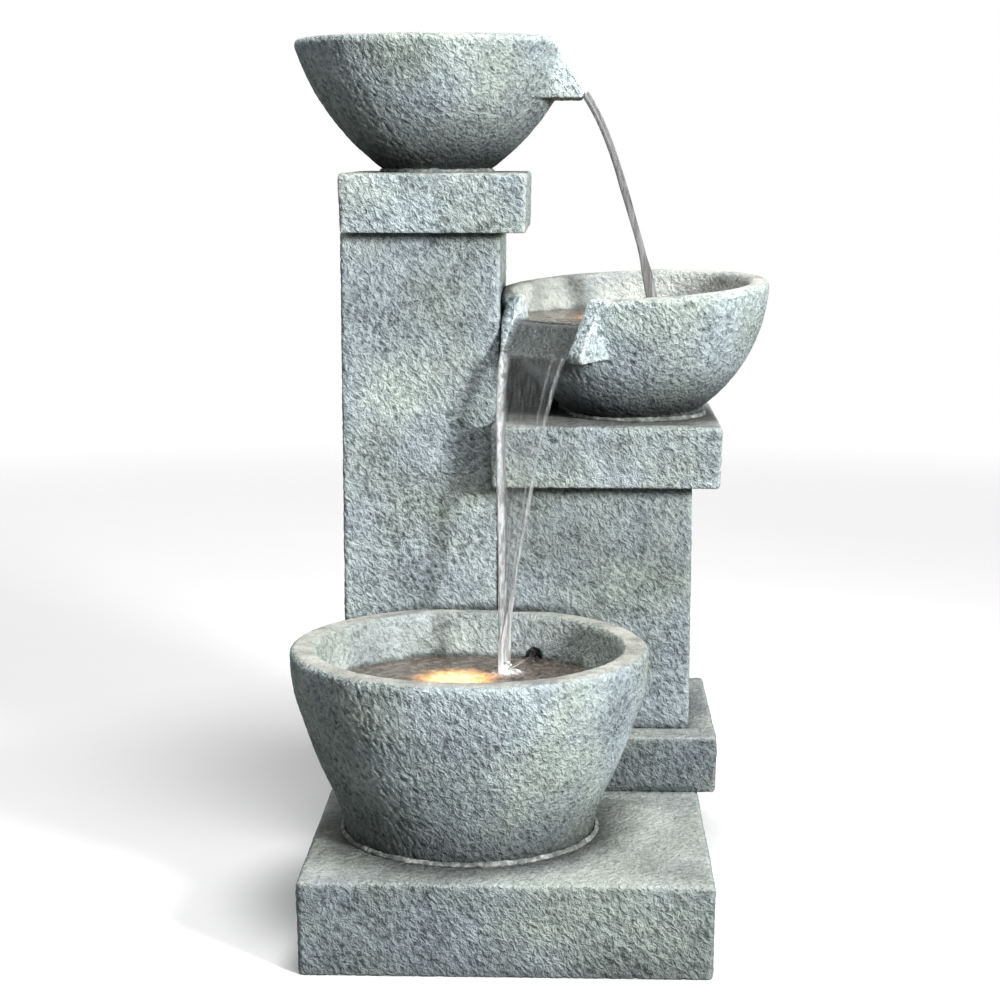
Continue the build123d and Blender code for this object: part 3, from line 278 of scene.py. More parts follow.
# Stone colours by the relief's height: the middle stops are the stone's own mottling, the darkest stop is
# painted shade in the hollows and the palest stop a painted highlight on the ridges.
RECESS_SHADE, SHADE, BODY = (0.080, 0.094, 0.094), (0.215, 0.247, 0.248), (0.350, 0.398, 0.402)
PALE, CREST_HIGHLIGHT = (0.470, 0.528, 0.520), (0.74, 0.79, 0.74)
STONE_RAMP = [(0.02, RECESS_SHADE), (0.22, SHADE), (0.42, BODY), (0.64, PALE), (0.90, CREST_HIGHLIGHT)]
COOL, GREENISH = (0.97, 1.0, 1.055), (1.0, 1.025, 0.955)
DUST_DARK, DUST_PALE, DUST_SPECK = (0.27, 0.262, 0.235), (0.74, 0.72, 0.63), (0.20, 0.195, 0.175)
# The paler edge colour is wear with a painted highlight; the near-black colour is painted shade for sheltered
# corners.
WORN_EDGE_AND_HIGHLIGHT, CORNER_SHADE = (0.70, 0.72, 0.66), (0.035, 0.040, 0.035)
SOAKED_DARK, SOAKED_PALE = (0.026, 0.029, 0.026), (0.095, 0.104, 0.098)
LUMPS_PER_M, WORMS_PER_M, GRAIN_PER_M = 235.0, 330.0, 1100.0
PATCHES_PER_M, HUES_PER_M, DUST_PER_M, STREAKS_PER_M = 14.0, 9.0, 30.0, 160.0
STONE_BUMP = 0.0026


def cast_stone(name):
    """Rough cast stone: pale ridges and dark recesses that are partly its own mottling and partly painted
    highlight and painted shade, paler edges from wear and a painted highlight, pale dust on level tops,
    painted shade in sheltered corners and painted light per casting.
    """
    material, tree, shader = new_material(name)
    place = object_place(tree)
    slanted = {"Vector": place, "Rotation": (0.25, -0.70, 0.0), "Scale": (1.0, 1.0, 1.35)}
    slanted = add(tree, "ShaderNodeMapping", slanted, vector_type="TEXTURE").outputs[0]
    lumps = span(tree, texture(tree, slanted, LUMPS_PER_M, 1.5, 0.55, 0.5), 0.36, 0.64)
    worms = texture(tree, slanted, WORMS_PER_M, 2.0, 0.5, 0.8)
    ridge = calc(tree, "MULTIPLY", calc(tree, "ABSOLUTE", centred(tree, worms)), 7.0)
    ridge = calc(tree, "SUBTRACT", 1.0, ridge, clamp=True)
    grain = texture(tree, place, GRAIN_PER_M, 3.0, 0.65)
    patches = texture(tree, place, PATCHES_PER_M, 3.0, 0.6)
    smooth = reader(tree, "smooth")
    rough = calc(tree, "SUBTRACT", 1.0, calc(tree, "MULTIPLY", smooth, 0.72))
    fine = calc(tree, "MULTIPLY", ridge, rough)
    coarse = calc(tree, "MULTIPLY", lumps, rough)

    # Low relief takes the painted shade colour and high relief the painted highlight colour; the patches and
    # grain add the stone's own mottling.
    height = calc(tree, "MULTIPLY", reader(tree, "relief"), 0.34)
    height = weighed(tree, height, coarse, 0.26)
    height = weighed(tree, height, fine, 0.20)
    height = weighed(tree, height, centred(tree, grain), 0.30)
    height = weighed(tree, height, centred(tree, patches), 0.75)
    colour = ramp(tree, height, STONE_RAMP)
    hue = span(tree, texture(tree, place, HUES_PER_M, 2.0), 0.38, 0.62)
    colour = blend(tree, 1.0, colour, blend(tree, hue, COOL, GREENISH), "MULTIPLY")

    dust = span(tree, texture(tree, place, DUST_PER_M, 5.0, 0.65), 0.36, 0.64)
    dust = blend(tree, dust, DUST_DARK, DUST_PALE)
    dust = blend(tree, span(tree, grain, 0.40, 0.60, 0.50, 0.0), dust, DUST_SPECK)
    colour = blend(tree, calc(tree, "MULTIPLY", smooth, 0.80), colour, dust)
    # Paler edges: partly wear, partly a painted highlight along the rounded edges.
    worn = weighed(tree, reader(tree, "edge"), centred(tree, grain), 1.4)
    colour = blend(tree, span(tree, worn, 0.60, 1.30, 0.0, 0.55), colour, WORN_EDGE_AND_HIGHLIGHT)
    # Painted shade in sheltered corners, under caps and between castings, by how closed in each point is.
    corner_shade = weighed(tree, reader(tree, "corner_shade"), centred(tree, patches), 0.5)
    colour = blend(tree, span(tree, corner_shade, 0.17, 0.80, 0.0, 0.84), colour, CORNER_SHADE)
    # Painted light and shade per casting and per face, with random mottling, as a multiplier of the colour.
    colour = blend(tree, 1.0, colour, reader(tree, "light_and_tone"), "MULTIPLY")
    wet = reader(tree, "wet")
    streaks = texture(tree, object_place(tree, scale=(1.0, 1.0, 0.06)), STREAKS_PER_M, 3.0, 0.6)
    soaked = blend(tree, span(tree, streaks, 0.36, 0.64), SOAKED_DARK, SOAKED_PALE)
    colour = blend(tree, calc(tree, "MULTIPLY", wet, 0.80), colour, soaked)

    dry = span(tree, height, 0.0, 0.9, 0.95, 0.72)
    dry = calc(tree, "SUBTRACT", dry, calc(tree, "MULTIPLY", wet, 0.52))
    bump = weighed(tree, calc(tree, "MULTIPLY", coarse, 0.62), fine, 0.24)
    bump = weighed(tree, bump, grain, 0.24)
    bump = add(tree, "ShaderNodeBump", {"Strength": 1.0, "Distance": STONE_BUMP, "Height": bump})
    tree.links.new(colour, shader.inputs["Base Color"])
    tree.links.new(dry, shader.inputs["Roughness"])
    tree.links.new(bump.outputs[0], shader.inputs["Normal"])
    shader.inputs["Specular IOR Level"].default_value = 0.35
    return material


# ---------------------------------------------------------------- stone pieces

SLANT = np.array([0.62, 0.25, -0.74])
SLANT_STRETCH = 0.42
RIDGE_MM, LUMP_MM, PIT_MM, WARP_MM, WARP_REACH_MM = 5.3, 10.5, 4.2, 13.0, 2.8


def stone_relief(co):
    """Worm-like relief of the cast surface, about 0 to 1: meandering ridges that lean to one side."""
    q = co * 1000.0
    q = q - SLANT_STRETCH * np.outer(q @ SLANT, SLANT)
    warp = np.stack([noise(q / WARP_MM, k) for k in (1, 2, 3)], 1)
    q = q + WARP_REACH_MM * warp
    ridges = 1 - np.sqrt(noise(q / RIDGE_MM, 4) ** 2 + 0.004) * 2.4
    lumps = noise(q / LUMP_MM, 5)
    pits = noise(q / PIT_MM, 6)
    return np.clip(0.36 + 0.44 * ridges + 0.16 * lumps + 0.14 * pits, 0, 1.15)


def tree_of(nodes):
    """One search tree over several CAD nodes."""
    verts, faces = [], []
    for name in nodes:
        mesh = NODES[name].data
        start = len(verts)
        verts += [v.co.copy() for v in mesh.vertices]
        faces += [[start + i for i in p.vertices] for p in mesh.polygons]
    return BVHTree.FromPolygons(verts, faces)


STONE_NODES = [
    "plinth", "foot_slab", "tall_column", "tall_column_cap", "short_column", "short_column_back",
    "short_column_cap", "bowl_support", "basin", "middle_bowl", "top_bowl", "access_cover",
]
stone_tree = tree_of(STONE_NODES)
SHELTER_REACH = 0.075
SHELTER_RAYS = 12
SHELTER_START = 0.002
CELL = 0.007


def shelter(co, no):
    """How closed in each point is, 0 in the open to 1 in a deep corner, from a few rays per small cell."""
    main = np.argmax(np.abs(no), 1)
    lean = main * 2 + (no[np.arange(len(no)), main] > 0)
    cell = np.floor(co / CELL).astype(np.int64) + 1000
    key = ((cell[:, 0] * 4096 + cell[:, 1]) * 4096 + cell[:, 2]) * 8 + lean
    _, first, back = np.unique(key, return_index=True, return_inverse=True)
    golden = math.pi * (3 - math.sqrt(5))
    found = np.zeros(len(first))
    for row, i in enumerate(first):
        normal = Vector(no[i])
        side = normal.orthogonal().normalized()
        other = normal.cross(side)
        start = Vector(co[i]) + normal * SHELTER_START
        closed = 0.0
        for k in range(SHELTER_RAYS):
            r = math.sqrt((k + 0.5) / SHELTER_RAYS)
            turn = k * golden
            aim = side * (r * math.cos(turn)) + other * (r * math.sin(turn)) + normal * math.sqrt(1 - r * r)
            hit = stone_tree.ray_cast(start, aim, SHELTER_REACH)
            if hit[3] is not None:
                closed += 1 - hit[3] / SHELTER_REACH
        found[row] = closed / SHELTER_RAYS
    return found[back.ravel()]


def spout_place(co, axis, azimuth):
    """Distance along a bowl's spout line and across it."""
    dx, dy = co[:, 0] - axis[0], co[:, 1] - axis[1]
    along = dx * math.cos(azimuth) + dy * math.sin(azimuth)
    across = -dx * math.sin(azimuth) + dy * math.cos(azimuth)
    return along, across


def from_axis(co, axis):
    """Level distance from a bowl's axis."""
    return np.hypot(co[:, 0] - axis[0], co[:, 1] - axis[1])


def faces_axis(co, no, axis):
    """True where a surface looks at the bowl's axis or up from its floor, as its inside does."""
    out = np.stack([co[:, 0] - axis[0], co[:, 1] - axis[1]], 1)
    out /= np.maximum(np.linalg.norm(out, axis=1), 1e-6)[:, None]
    return (no[:, 0] * out[:, 0] + no[:, 1] * out[:, 1] < 0.2) & (no[:, 2] > -0.2)


BASIN_INSIDE_R, SPOUTED_INSIDE_R = 0.146, 0.125
CHUTE_START, CHUTE_FULL = 0.112, 0.120
WET_EDGE = 0.006


def wetness(node, co, no):
    """1 where water stands or runs on the stone."""
    wobble = 0.004 * noise(co * 60.0, 8)
    if node == "basin":
        inside = from_axis(co, BASIN_AXIS) < BASIN_INSIDE_R
        inside &= faces_axis(co, no, BASIN_AXIS)
        return inside * step(BASIN_LEVEL + WET_EDGE + wobble - co[:, 2], 0, WET_EDGE)
    if node in ("middle_bowl", "top_bowl"):
        is_top = node == "top_bowl"
        axis, azimuth = (TOP_AXIS, 0.0) if is_top else (MIDDLE_AXIS, SPOUT_AZIMUTH)
        level = TOP_LEVEL if is_top else MIDDLE_LEVEL
        along, across = spout_place(co, axis, azimuth)
        inside = (np.hypot(along, across) < SPOUTED_INSIDE_R) & faces_axis(co, no, axis)
        pool = inside * step(level + 0.005 + wobble - co[:, 2], 0, WET_EDGE)
        chute = step(along, CHUTE_START, CHUTE_FULL)
        chute = chute * step(CHANNEL_HALF_W + 0.0015 - np.abs(across), 0, 0.002)
        chute = chute * step(level + 0.004 - co[:, 2], 0, 0.004)
        return np.maximum(pool, chute)
    return np.zeros(len(co))


# Painted light level per casting (a share of the common level) and how worn smooth the level faces are: the
# lower castings are painted darker and are rougher, the bowls painted lighter
COMMON_LIGHT_AND_SMOOTHNESS = (1.0, 0.85)
PAINTED_LIGHT_AND_SMOOTHNESS = {
    "plinth": (0.68, 0.45),
    "foot_slab": (0.54, 0.50),
    "short_column": (0.76, 0.85),
    "bowl_support": (0.34, 0.50),
    "tall_column_cap": (1.08, 0.85),
    "short_column_cap": (0.94, 0.65),
    "middle_bowl": (1.28, 0.85),
    "top_bowl": (1.20, 0.85),
    "basin": (1.04, 0.85),
}
# Axis, inner radius and how smooth the inside is worn by the water
INSIDES = {
    "basin": (BASIN_AXIS, 0.150, 0.22),
    "middle_bowl": (MIDDLE_AXIS, 0.128, 0.52),
    "top_bowl": (TOP_AXIS, 0.125, 0.52),
}
SPOUTS = {"middle_bowl": (MIDDLE_AXIS, SPOUT_AZIMUTH), "top_bowl": (TOP_AXIS, 0.0)}
# How dark the painted shade is on faces that look down and on the bowls' lower parts, and how bright the
# painted highlight on the spout cheeks is.
UNDERSIDE_SHADE, BOWL_FOOT_SHADE, CHEEK_HIGHLIGHT = 0.5, 0.68, 0.30
# Painted shadow ring around the basin's foot: inner and outer radius, and how dark.
FOOT_SHADOW_INNER, FOOT_SHADOW_OUTER, FOOT_SHADOW_DEPTH = 0.100, 0.172, 0.70


def inner_wall(node, co, no):
    """How smooth the inside of a bowl is worn by the water, 0 elsewhere."""
    if node not in INSIDES:
        return np.zeros(len(co))
    axis, reach, share = INSIDES[node]
    return share * ((from_axis(co, axis) < reach) & faces_axis(co, no, axis))


def light_and_tone(node, co, no):
    """Multiplier of the stone's colour, mostly painted light and shade: a level per casting, painted shade on
    the sides of the plinth and foot slab, on faces that look down, on the lower bowls and in a ring round the
    basin's foot, a painted highlight on the spout cheeks, darker towards the plinth's bottom, and random
    mottling.
    """
    low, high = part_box(node)
    upward = step(no[:, 2], 0.5, 0.9)
    values = np.full(len(co), PAINTED_LIGHT_AND_SMOOTHNESS.get(node, COMMON_LIGHT_AND_SMOOTHNESS)[0])
    # Painted shade on the sides of the plinth and foot slab: their level tops are set back to full
    # brightness.
    if node in ("plinth", "foot_slab"):
        values += (1.0 - values) * upward
    # Painted shade on faces that look down.
    values *= 1 - UNDERSIDE_SHADE * step(-no[:, 2], 0.45, 0.85)
    values *= 1 + 0.16 * noise(co * 13.0, 41) + 0.10 * noise(co * 34.0, 42)
    if node == "plinth":
        # Painted shadow of the basin: a dark ring on the plinth top around its foot.
        around_foot = from_axis(co, BASIN_AXIS) + 0.008 * noise(co * 30.0, 43)
        values *= 1 - FOOT_SHADOW_DEPTH * (1 - step(around_foot, FOOT_SHADOW_INNER, FOOT_SHADOW_OUTER)) * upward
        values *= 0.72 + 0.28 * step(co[:, 2] + 0.006 * noise(co * 25.0, 44), 0.002, 0.034)
    # Painted shade on the lower part of each bowl and the basin.
    if node in INSIDES:
        risen = step(co[:, 2], low.z, low.z + 0.55 * (high.z - low.z))
        values *= 1 - BOWL_FOOT_SHADE + BOWL_FOOT_SHADE * risen
    # Painted highlight on the spout cheeks.
    if node in SPOUTS:
        along, across = spout_place(co, *SPOUTS[node])
        cheek = step(np.abs(across), CHANNEL_HALF_W, CHANNEL_HALF_W + 0.004)
        values *= 1 + CHEEK_HIGHLIGHT * step(along, 0.112, 0.124) * cheek
    return values


ROUNDING, EDGE_RISE, SWELL, SWELL_MM = 0.0032, 0.0011, 0.00035, 45.0
MEAN_RELIEF = 0.45
CORE_THINNED = 0.93


def stone_piece(node, voxel, depth, body=ROOT, core=None):
    """A casting with rounded edges and real relief.

    core: how far inside its box the plain inner skin begins."""
    obj = even_mesh(node, "stone_" + node, voxel)
    mesh = obj.data
    co, edges = corners(mesh), links(mesh)
    no = directions(mesh)
    rounds = max(2, int(round((ROUNDING / voxel) ** 2)))
    base = relaxed(co, edges, rounds)
    wide = relaxed(co, edges, rounds * 5)
    edge = np.clip(np.einsum("ij,ij->i", no, co - wide) / EDGE_RISE, -1, 1)
    wide_no = relaxed(no, edges, 3)
    level = step(wide_no[:, 2], 0.80, 0.93)
    if node in INSIDES:
        top = co[:, 2].max()
        level = level * step(co[:, 2], top - 0.055, top - 0.02)
    height = stone_relief(base)
    swell = noise(base * 1000 / SWELL_MM, 9)
    smooth = np.maximum(level * PAINTED_LIGHT_AND_SMOOTHNESS.get(node, COMMON_LIGHT_AND_SMOOTHNESS)[1], inner_wall(node, base, no))
    lift = depth * (height - MEAN_RELIEF) * (1 - 0.75 * smooth) + SWELL * swell
    place = base + wide_no * lift[:, None]
    place[:, 2] = np.maximum(place[:, 2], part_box(node)[0].z)
    put(mesh, place)
    attribute(mesh, "relief", height)
    attribute(mesh, "smooth", smooth)
    attribute(mesh, "edge", np.clip(edge, 0, 1))
    # Painted shade: how closed in each point is, which darkens the stone's colour in corners.
    attribute(mesh, "corner_shade", relaxed(shelter(co, no), edges, 8))
    attribute(mesh, "wet", wetness(node, base, no))
    # Colour multiplier: painted light and shade with random mottling.
    attribute(mesh, "light_and_tone", light_and_tone(node, base, wide_no))
    if core:
        low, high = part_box(node)
        inner = np.ones(len(co), bool)
        for k in range(3):
            inner &= (co[:, k] > low[k] + core) & (co[:, k] < high[k] - core)
        group = obj.vertex_groups.new(name="core")
        group.add([int(i) for i in np.nonzero(inner)[0]], 1.0, "REPLACE")
        thin = obj.modifiers.new("thin", "DECIMATE")
        thin.vertex_group = "core"
        thin.ratio = 1 - CORE_THINNED * float(inner.mean())
        applied(obj)
    return finish_piece(obj, STONE, body, [node])


STONE = cast_stone("cast_stone_worked")
FINE = 0.0017
RELIEF = 0.0017
for node, core in (
    ("plinth", 0.006), ("foot_slab", None), ("tall_column", 0.006), ("tall_column_cap", None),
    ("short_column", 0.006), ("short_column_back", None), ("short_column_cap", None), ("bowl_support", None),
    ("basin", None), ("middle_bowl", None), ("top_bowl", None),
):
    stone_piece(node, FINE, RELIEF, core=core)
COVER_VOXEL, COVER_RELIEF = 0.0016, 0.0007
stone_piece("access_cover", COVER_VOXEL, COVER_RELIEF, body="access_cover")

# ---------------------------------------------------------------- mortar beads


def mortar(name):
    material, tree, shader = new_material(name)
    place = object_place(tree)
    lumps = texture(tree, place, 130.0, 4.0, 0.65)
    sand = texture(tree, place, 1500.0, 2.0, 0.7)
    colour = ramp(tree, lumps, [
        (0.36, (0.07, 0.078, 0.074)), (0.52, (0.17, 0.185, 0.175)), (0.70, (0.50, 0.52, 0.48)),
    ])
    colour = blend(tree, span(tree, sand, 0.35, 0.5, 0.4, 0.0), colour, (0.16, 0.17, 0.15))
    height = calc(tree, "ADD", lumps, calc(tree, "MULTIPLY", sand, 0.3))
    bump = add(tree, "ShaderNodeBump", {"Strength": 0.7, "Distance": 0.001, "Height": height})
    tree.links.new(colour, shader.inputs["Base Color"])
    tree.links.new(span(tree, sand, 0.3, 0.7, 0.75, 0.95), shader.inputs["Roughness"])
    tree.links.new(bump.outputs[0], shader.inputs["Normal"])
    return material


MORTAR = mortar("mortar_pale")
BEAD_VOXEL = 0.0011
for node in ("basin_bead", "middle_bowl_bead", "top_bowl_bead"):
    bead = even_mesh(node, "stone_" + node, BEAD_VOXEL)
    spots, ties = corners(bead.data), links(bead.data)
    outward = directions(bead.data)
    spots = relaxed(spots, ties, 2)
    spots += outward * (0.0006 * noise(spots * 240.0, 12) + 0.0009 * noise(spots * 70.0, 13))[:, None]
    put(bead.data, spots)
    finish_piece(bead, MORTAR, ROOT, [node])

# ---------------------------------------------------------------- plastic, rubber and metal


def moulded(name, colour, rough, grain_scale=1400.0, bump=0.15, coat=0.0, wear=(0.25, 0.25, 0.25)):
    """Moulded plastic or rubber: fine grain, faint flow marks and a little silt in patches of a worn colour.
    """
    material, tree, shader = new_material(name)
    place = object_place(tree)
    grain = texture(tree, place, grain_scale, 3.0, 0.6)
    flow = texture(tree, object_place(tree, scale=(1.0, 1.0, 0.3)), 90.0, 2.0)
    silt = texture(tree, place, 55.0, 5.0, 0.65)
    lighter = tuple(min(1.0, c * 1.35 + 0.01) for c in colour)
    darker = tuple(c * 0.7 for c in colour)
    base = blend(tree, span(tree, flow, 0.35, 0.65), darker, lighter)
    base = blend(tree, span(tree, silt, 0.54, 0.75, 0.0, 0.35), base, wear)
    tree.links.new(base, shader.inputs["Base Color"])
    dull = span(tree, silt, 0.3, 0.7, rough * 0.8, min(1.0, rough * 1.25))
    tree.links.new(dull, shader.inputs["Roughness"])
    height = calc(tree, "ADD", grain, calc(tree, "MULTIPLY", flow, 0.4))
    relief = add(tree, "ShaderNodeBump", {"Strength": bump, "Distance": 0.0003, "Height": height})
    tree.links.new(relief.outputs[0], shader.inputs["Normal"])
    shader.inputs["Coat Weight"].default_value = coat
    return material


def metal(name, colour, rough, stretch=(1.0, 1.0, 30.0), stain=(0.30, 0.22, 0.15)):
    """Drawn or brushed metal with fine lines and a few stains."""
    material, tree, shader = new_material(name)
    lines = texture(tree, object_place(tree, scale=stretch), 60.0, 3.0, 0.6)
    spots = texture(tree, object_place(tree), 140.0, 4.0, 0.6)
    base = blend(tree, lines, tuple(c * 0.8 for c in colour), colour)
    base = blend(tree, span(tree, spots, 0.60, 0.75, 0.0, 0.5), base, stain)
    tree.links.new(base, shader.inputs["Base Color"])
    tree.links.new(span(tree, lines, 0.3, 0.7, rough * 0.8, rough * 1.3), shader.inputs["Roughness"])
    relief = add(tree, "ShaderNodeBump", {"Strength": 0.2, "Distance": 0.0001, "Height": lines})
    tree.links.new(relief.outputs[0], shader.inputs["Normal"])
    shader.inputs["Metallic"].default_value = 1.0
    return material


def lamp_board(name):
    """Pale circuit board whose emitters light it."""
    material, tree, shader = new_material(name)
    patch = texture(tree, object_place(tree), 420.0, 2.0)
    colour = ramp(tree, patch, [(0.4, (0.95, 0.52, 0.16)), (0.6, (1.0, 0.72, 0.30))])
    tree.links.new(colour, shader.inputs["Base Color"])
    tree.links.new(colour, shader.inputs["Emission Color"])
    shader.inputs["Emission Strength"].default_value = 9.0
    tree.links.new(span(tree, patch, 0.3, 0.7, 0.4, 0.6), shader.inputs["Roughness"])
    return material


def lamp_lens(name):
    """Clear lens with fine moulding ripples and a film of lime."""
    material, tree, shader = new_material(name)
    ripple = texture(tree, object_place(tree), 350.0, 2.0)
    colour = blend(tree, span(tree, ripple, 0.4, 0.6), (0.86, 0.84, 0.78), (0.97, 0.95, 0.90))
    tree.links.new(colour, shader.inputs["Base Color"])
    tree.links.new(span(tree, ripple, 0.3, 0.7, 0.05, 0.2), shader.inputs["Roughness"])
    relief = add(tree, "ShaderNodeBump", {"Strength": 0.2, "Distance": 0.0003, "Height": ripple})
    tree.links.new(relief.outputs[0], shader.inputs["Normal"])
    shader.inputs["Transmission Weight"].default_value = 0.85
    shader.inputs["IOR"].default_value = 1.49
    return material


SLOT_LOOKS = {
    "mortar": MORTAR,
    "cast_stone": STONE,
    "pump_plastic": moulded("plastic_pump", (0.030, 0.031, 0.034), 0.48),
    "dial_plastic": moulded("plastic_dial", (0.06, 0.16, 0.40), 0.32, coat=0.2),
    "fitting_plastic": moulded("plastic_fitting", (0.065, 0.066, 0.070), 0.5),
    "impeller_plastic": moulded("plastic_impeller", (0.72, 0.72, 0.68), 0.35, wear=(0.5, 0.46, 0.38)),
    "magnet": moulded("ferrite", (0.10, 0.10, 0.11), 0.62, 900.0, 0.4),
    "steel": metal("steel_stainless", (0.62, 0.62, 0.60), 0.28),
    "clamp_steel": metal("steel_spring", (0.55, 0.55, 0.53), 0.36, (30.0, 30.0, 1.0)),
    "rubber": moulded("rubber_black", (0.022, 0.022, 0.022), 0.78, 700.0, 0.3),
    "hose": moulded("hose_black", (0.040, 0.040, 0.042), 0.42, 600.0, 0.2),
    "lead_jacket": moulded("lead_black", (0.026, 0.026, 0.028), 0.5, 900.0, 0.2),
    "lamp_plastic": moulded("plastic_lamp", (0.040, 0.040, 0.042), 0.4),
    "lamp_board": lamp_board("lamp_board_lit"),
    "lamp_lens": lamp_lens("lamp_lens_clear"),
}
for part in frame["record"]["subparts"]:
    mesh = NODES[part["node"]].data
    mesh.materials.clear()
    mesh.materials.append(SLOT_LOOKS[part["material_slot"]])

# ---------------------------------------------------------------- hoses and leads

HOSE_D, LEAD_D = 0.011, 0.0032
BASIN_HOSE = [
    (0.0040, -0.0910, 0.1510), (0.0040, -0.0910, 0.1710), (-0.0026, -0.0810, 0.1918),
    (-0.0139, -0.0636, 0.2038), (-0.0380, -0.0310, 0.2055), (-0.0620, 0.0000, 0.2040),
    (-0.0620, 0.0260, 0.2040),
]
RISER_HOSE = [
    (-0.0620, 0.0660, 0.2040), (-0.0620, 0.0920, 0.2040), (-0.0640, 0.1180, 0.2190),
    (-0.0680, 0.1340, 0.2460), (-0.0730, 0.1390, 0.2900), (-0.0840, 0.1410, 0.3700),
    (-0.0930, 0.1380, 0.4600), (-0.0970, 0.1310, 0.5500), (-0.0955, 0.1295, 0.6200),
    (-0.0955, 0.1295, 0.6715),
]
LAMP_LEAD = [
    (-0.0660, -0.0638, 0.1080), (-0.0660, -0.0420, 0.1090), (-0.0560, -0.0180, 0.1210),
    (-0.0400, -0.0030, 0.1410), (-0.0240, 0.0020, 0.1680), (-0.0080, -0.0060, 0.1950),
    (0.0020, 0.0010, 0.2210), (0.0020, 0.0480, 0.2218), (0.0060, 0.0880, 0.2320),
    (0.0130, 0.1260, 0.2320), (0.0180, 0.1600, 0.2270), (0.0200, 0.1820, 0.2130),
    (0.0200, 0.1880, 0.1910), (0.0200, 0.1880, 0.1670),
]
PUMP_LEAD = [
    (0.0040, -0.0478, 0.1220), (0.0040, -0.0300, 0.1225), (0.0050, -0.0150, 0.1340),
    (0.0070, -0.0150, 0.1570), (0.0080, -0.0210, 0.1810), (0.0080, -0.0170, 0.2040),
    (0.0080, 0.0010, 0.2171), (0.0080, 0.0440, 0.2177), (0.0140, 0.0840, 0.2230),
    (0.0220, 0.1200, 0.2240), (0.0280, 0.1560, 0.2200), (0.0300, 0.1800, 0.2080),
    (0.0300, 0.1880, 0.1890), (0.0300, 0.1880, 0.1670),
]
MIDDLE_LEAD = [
    (0.0987, 0.1059, 0.4730), (0.1048, 0.1126, 0.4755), (0.1094, 0.1178, 0.4830),
    (0.1121, 0.1207, 0.4930), (0.1168, 0.1259, 0.5005), (0.1232, 0.1330, 0.5010),
    (0.1278, 0.1382, 0.4945), (0.1293, 0.1398, 0.4845), (0.1296, 0.1401, 0.4660),
    (0.1291, 0.1398, 0.4320), (0.1263, 0.1418, 0.3920), (0.1170, 0.1480, 0.3520),
    (0.1040, 0.1550, 0.3100), (0.0880, 0.1620, 0.2700), (0.0710, 0.1700, 0.2380),
    (0.0560, 0.1780, 0.2160), (0.0450, 0.1850, 0.2020), (0.0400, 0.1880, 0.1870),
    (0.0400, 0.1880, 0.1670),
]


def cord_curve(name, points, diameter, slot, node):
    """A hose or lead on one smooth line, which stands for its CAD solid."""
    data = bpy.data.curves.new(name, "CURVE")
    data.dimensions = "3D"
    line = data.splines.new("NURBS")
    line.points.add(len(points) - 1)
    for target, point in zip(line.points, points):
        target.co = (*point, 1.0)
    line.order_u = 3
    line.use_endpoint_u = True
    line.resolution_u = 10
    data.bevel_depth = diameter / 2
    data.bevel_resolution = 6
    data.use_fill_caps = True
    data.materials.append(SLOT_LOOKS[slot])
    obj = new_object(name, data)
    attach(obj, ROOT)
    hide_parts(node)
    return obj


# ---------------------------------------------------------------- water


WATER_IOR = 1.333
FOAM_WHITE = (0.90, 0.90, 0.87)
GLOW_RAMP = [
    (0.08, (0.0, 0.0, 0.0)), (0.28, (0.16, 0.07, 0.025)), (0.50, (0.62, 0.30, 0.09)),
    (0.72, (0.92, 0.58, 0.20)), (0.92, (1.0, 0.82, 0.42)),
]


def water_look(name, colour, alpha_low, alpha_high, rough, glow=0.0, streaky=False):
    """Water seen as a tinted, glossy, partly clear surface.

    It is denser where the attribute body is high, white where foam is and carries painted lamp light where
    glow is."""
    material, tree, shader = new_material(name)
    body = reader(tree, "body")
    stretch = (1.0, 1.0, 0.03) if streaky else (1.0, 1.0, 1.0)
    fleck = texture(tree, object_place(tree, scale=stretch), 300.0 if streaky else 130.0, 3.0, 0.6, 0.2)
    clear = span(tree, fleck, 0.40, 0.62)
    dull = tuple(c * 0.72 for c in colour)
    bright = tuple(min(1.0, c * 1.2 + 0.02) for c in colour)
    base = blend(tree, clear, dull, bright)
    foam = reader(tree, "foam")
    base = blend(tree, foam, base, FOAM_WHITE)
    tree.links.new(base, shader.inputs["Base Color"])
    share = calc(tree, "MULTIPLY", body, calc(tree, "ADD", calc(tree, "MULTIPLY", clear, 0.75), 0.5))
    alpha = span(tree, share, 0.0, 1.0, alpha_low, alpha_high)
    alpha = calc(tree, "ADD", alpha, calc(tree, "MULTIPLY", foam, 0.6), clamp=True)
    tree.links.new(alpha, shader.inputs["Alpha"])
    tree.links.new(span(tree, fleck, 0.3, 0.7, rough * 0.7, rough * 1.6), shader.inputs["Roughness"])
    relief = add(tree, "ShaderNodeBump", {"Strength": 0.35, "Distance": 0.0012, "Height": fleck})
    tree.links.new(relief.outputs[0], shader.inputs["Normal"])
    shader.inputs["IOR"].default_value = WATER_IOR
    # Painted lamp light: the water surface emits a warm patch where the glow attribute is high.
    if glow:
        light = reader(tree, "glow")
        light = calc(tree, "ADD", light, calc(tree, "MULTIPLY", calc(tree, "SUBTRACT", fleck, 0.5), 0.12))
        warm = ramp(tree, light, GLOW_RAMP)
        tree.links.new(warm, shader.inputs["Emission Color"])
        shader.inputs["Emission Strength"].default_value = glow
    return material


def grid_mesh(name, points, rows, cols):
    """A mesh over a grid of points, row by row."""
    faces = []
    for r in range(rows - 1):
        for c in range(cols - 1):
            a = r * cols + c
            faces.append((a, a + 1, a + cols + 1, a + cols))
    mesh = bpy.data.meshes.new(name)
    mesh.from_pydata([tuple(p) for p in points], [], faces)
    mesh.update()
    return mesh


POOL_RINGS, POOL_SPOKES = 70, 220
WALL_OVERLAP = 0.003
RIPPLE_LENGTH, RIPPLE_FADE, RIPPLE_HEIGHT = 0.0105, 0.045, 0.0011
FOAM_NEAR, FOAM_FAR = 0.006, 0.020


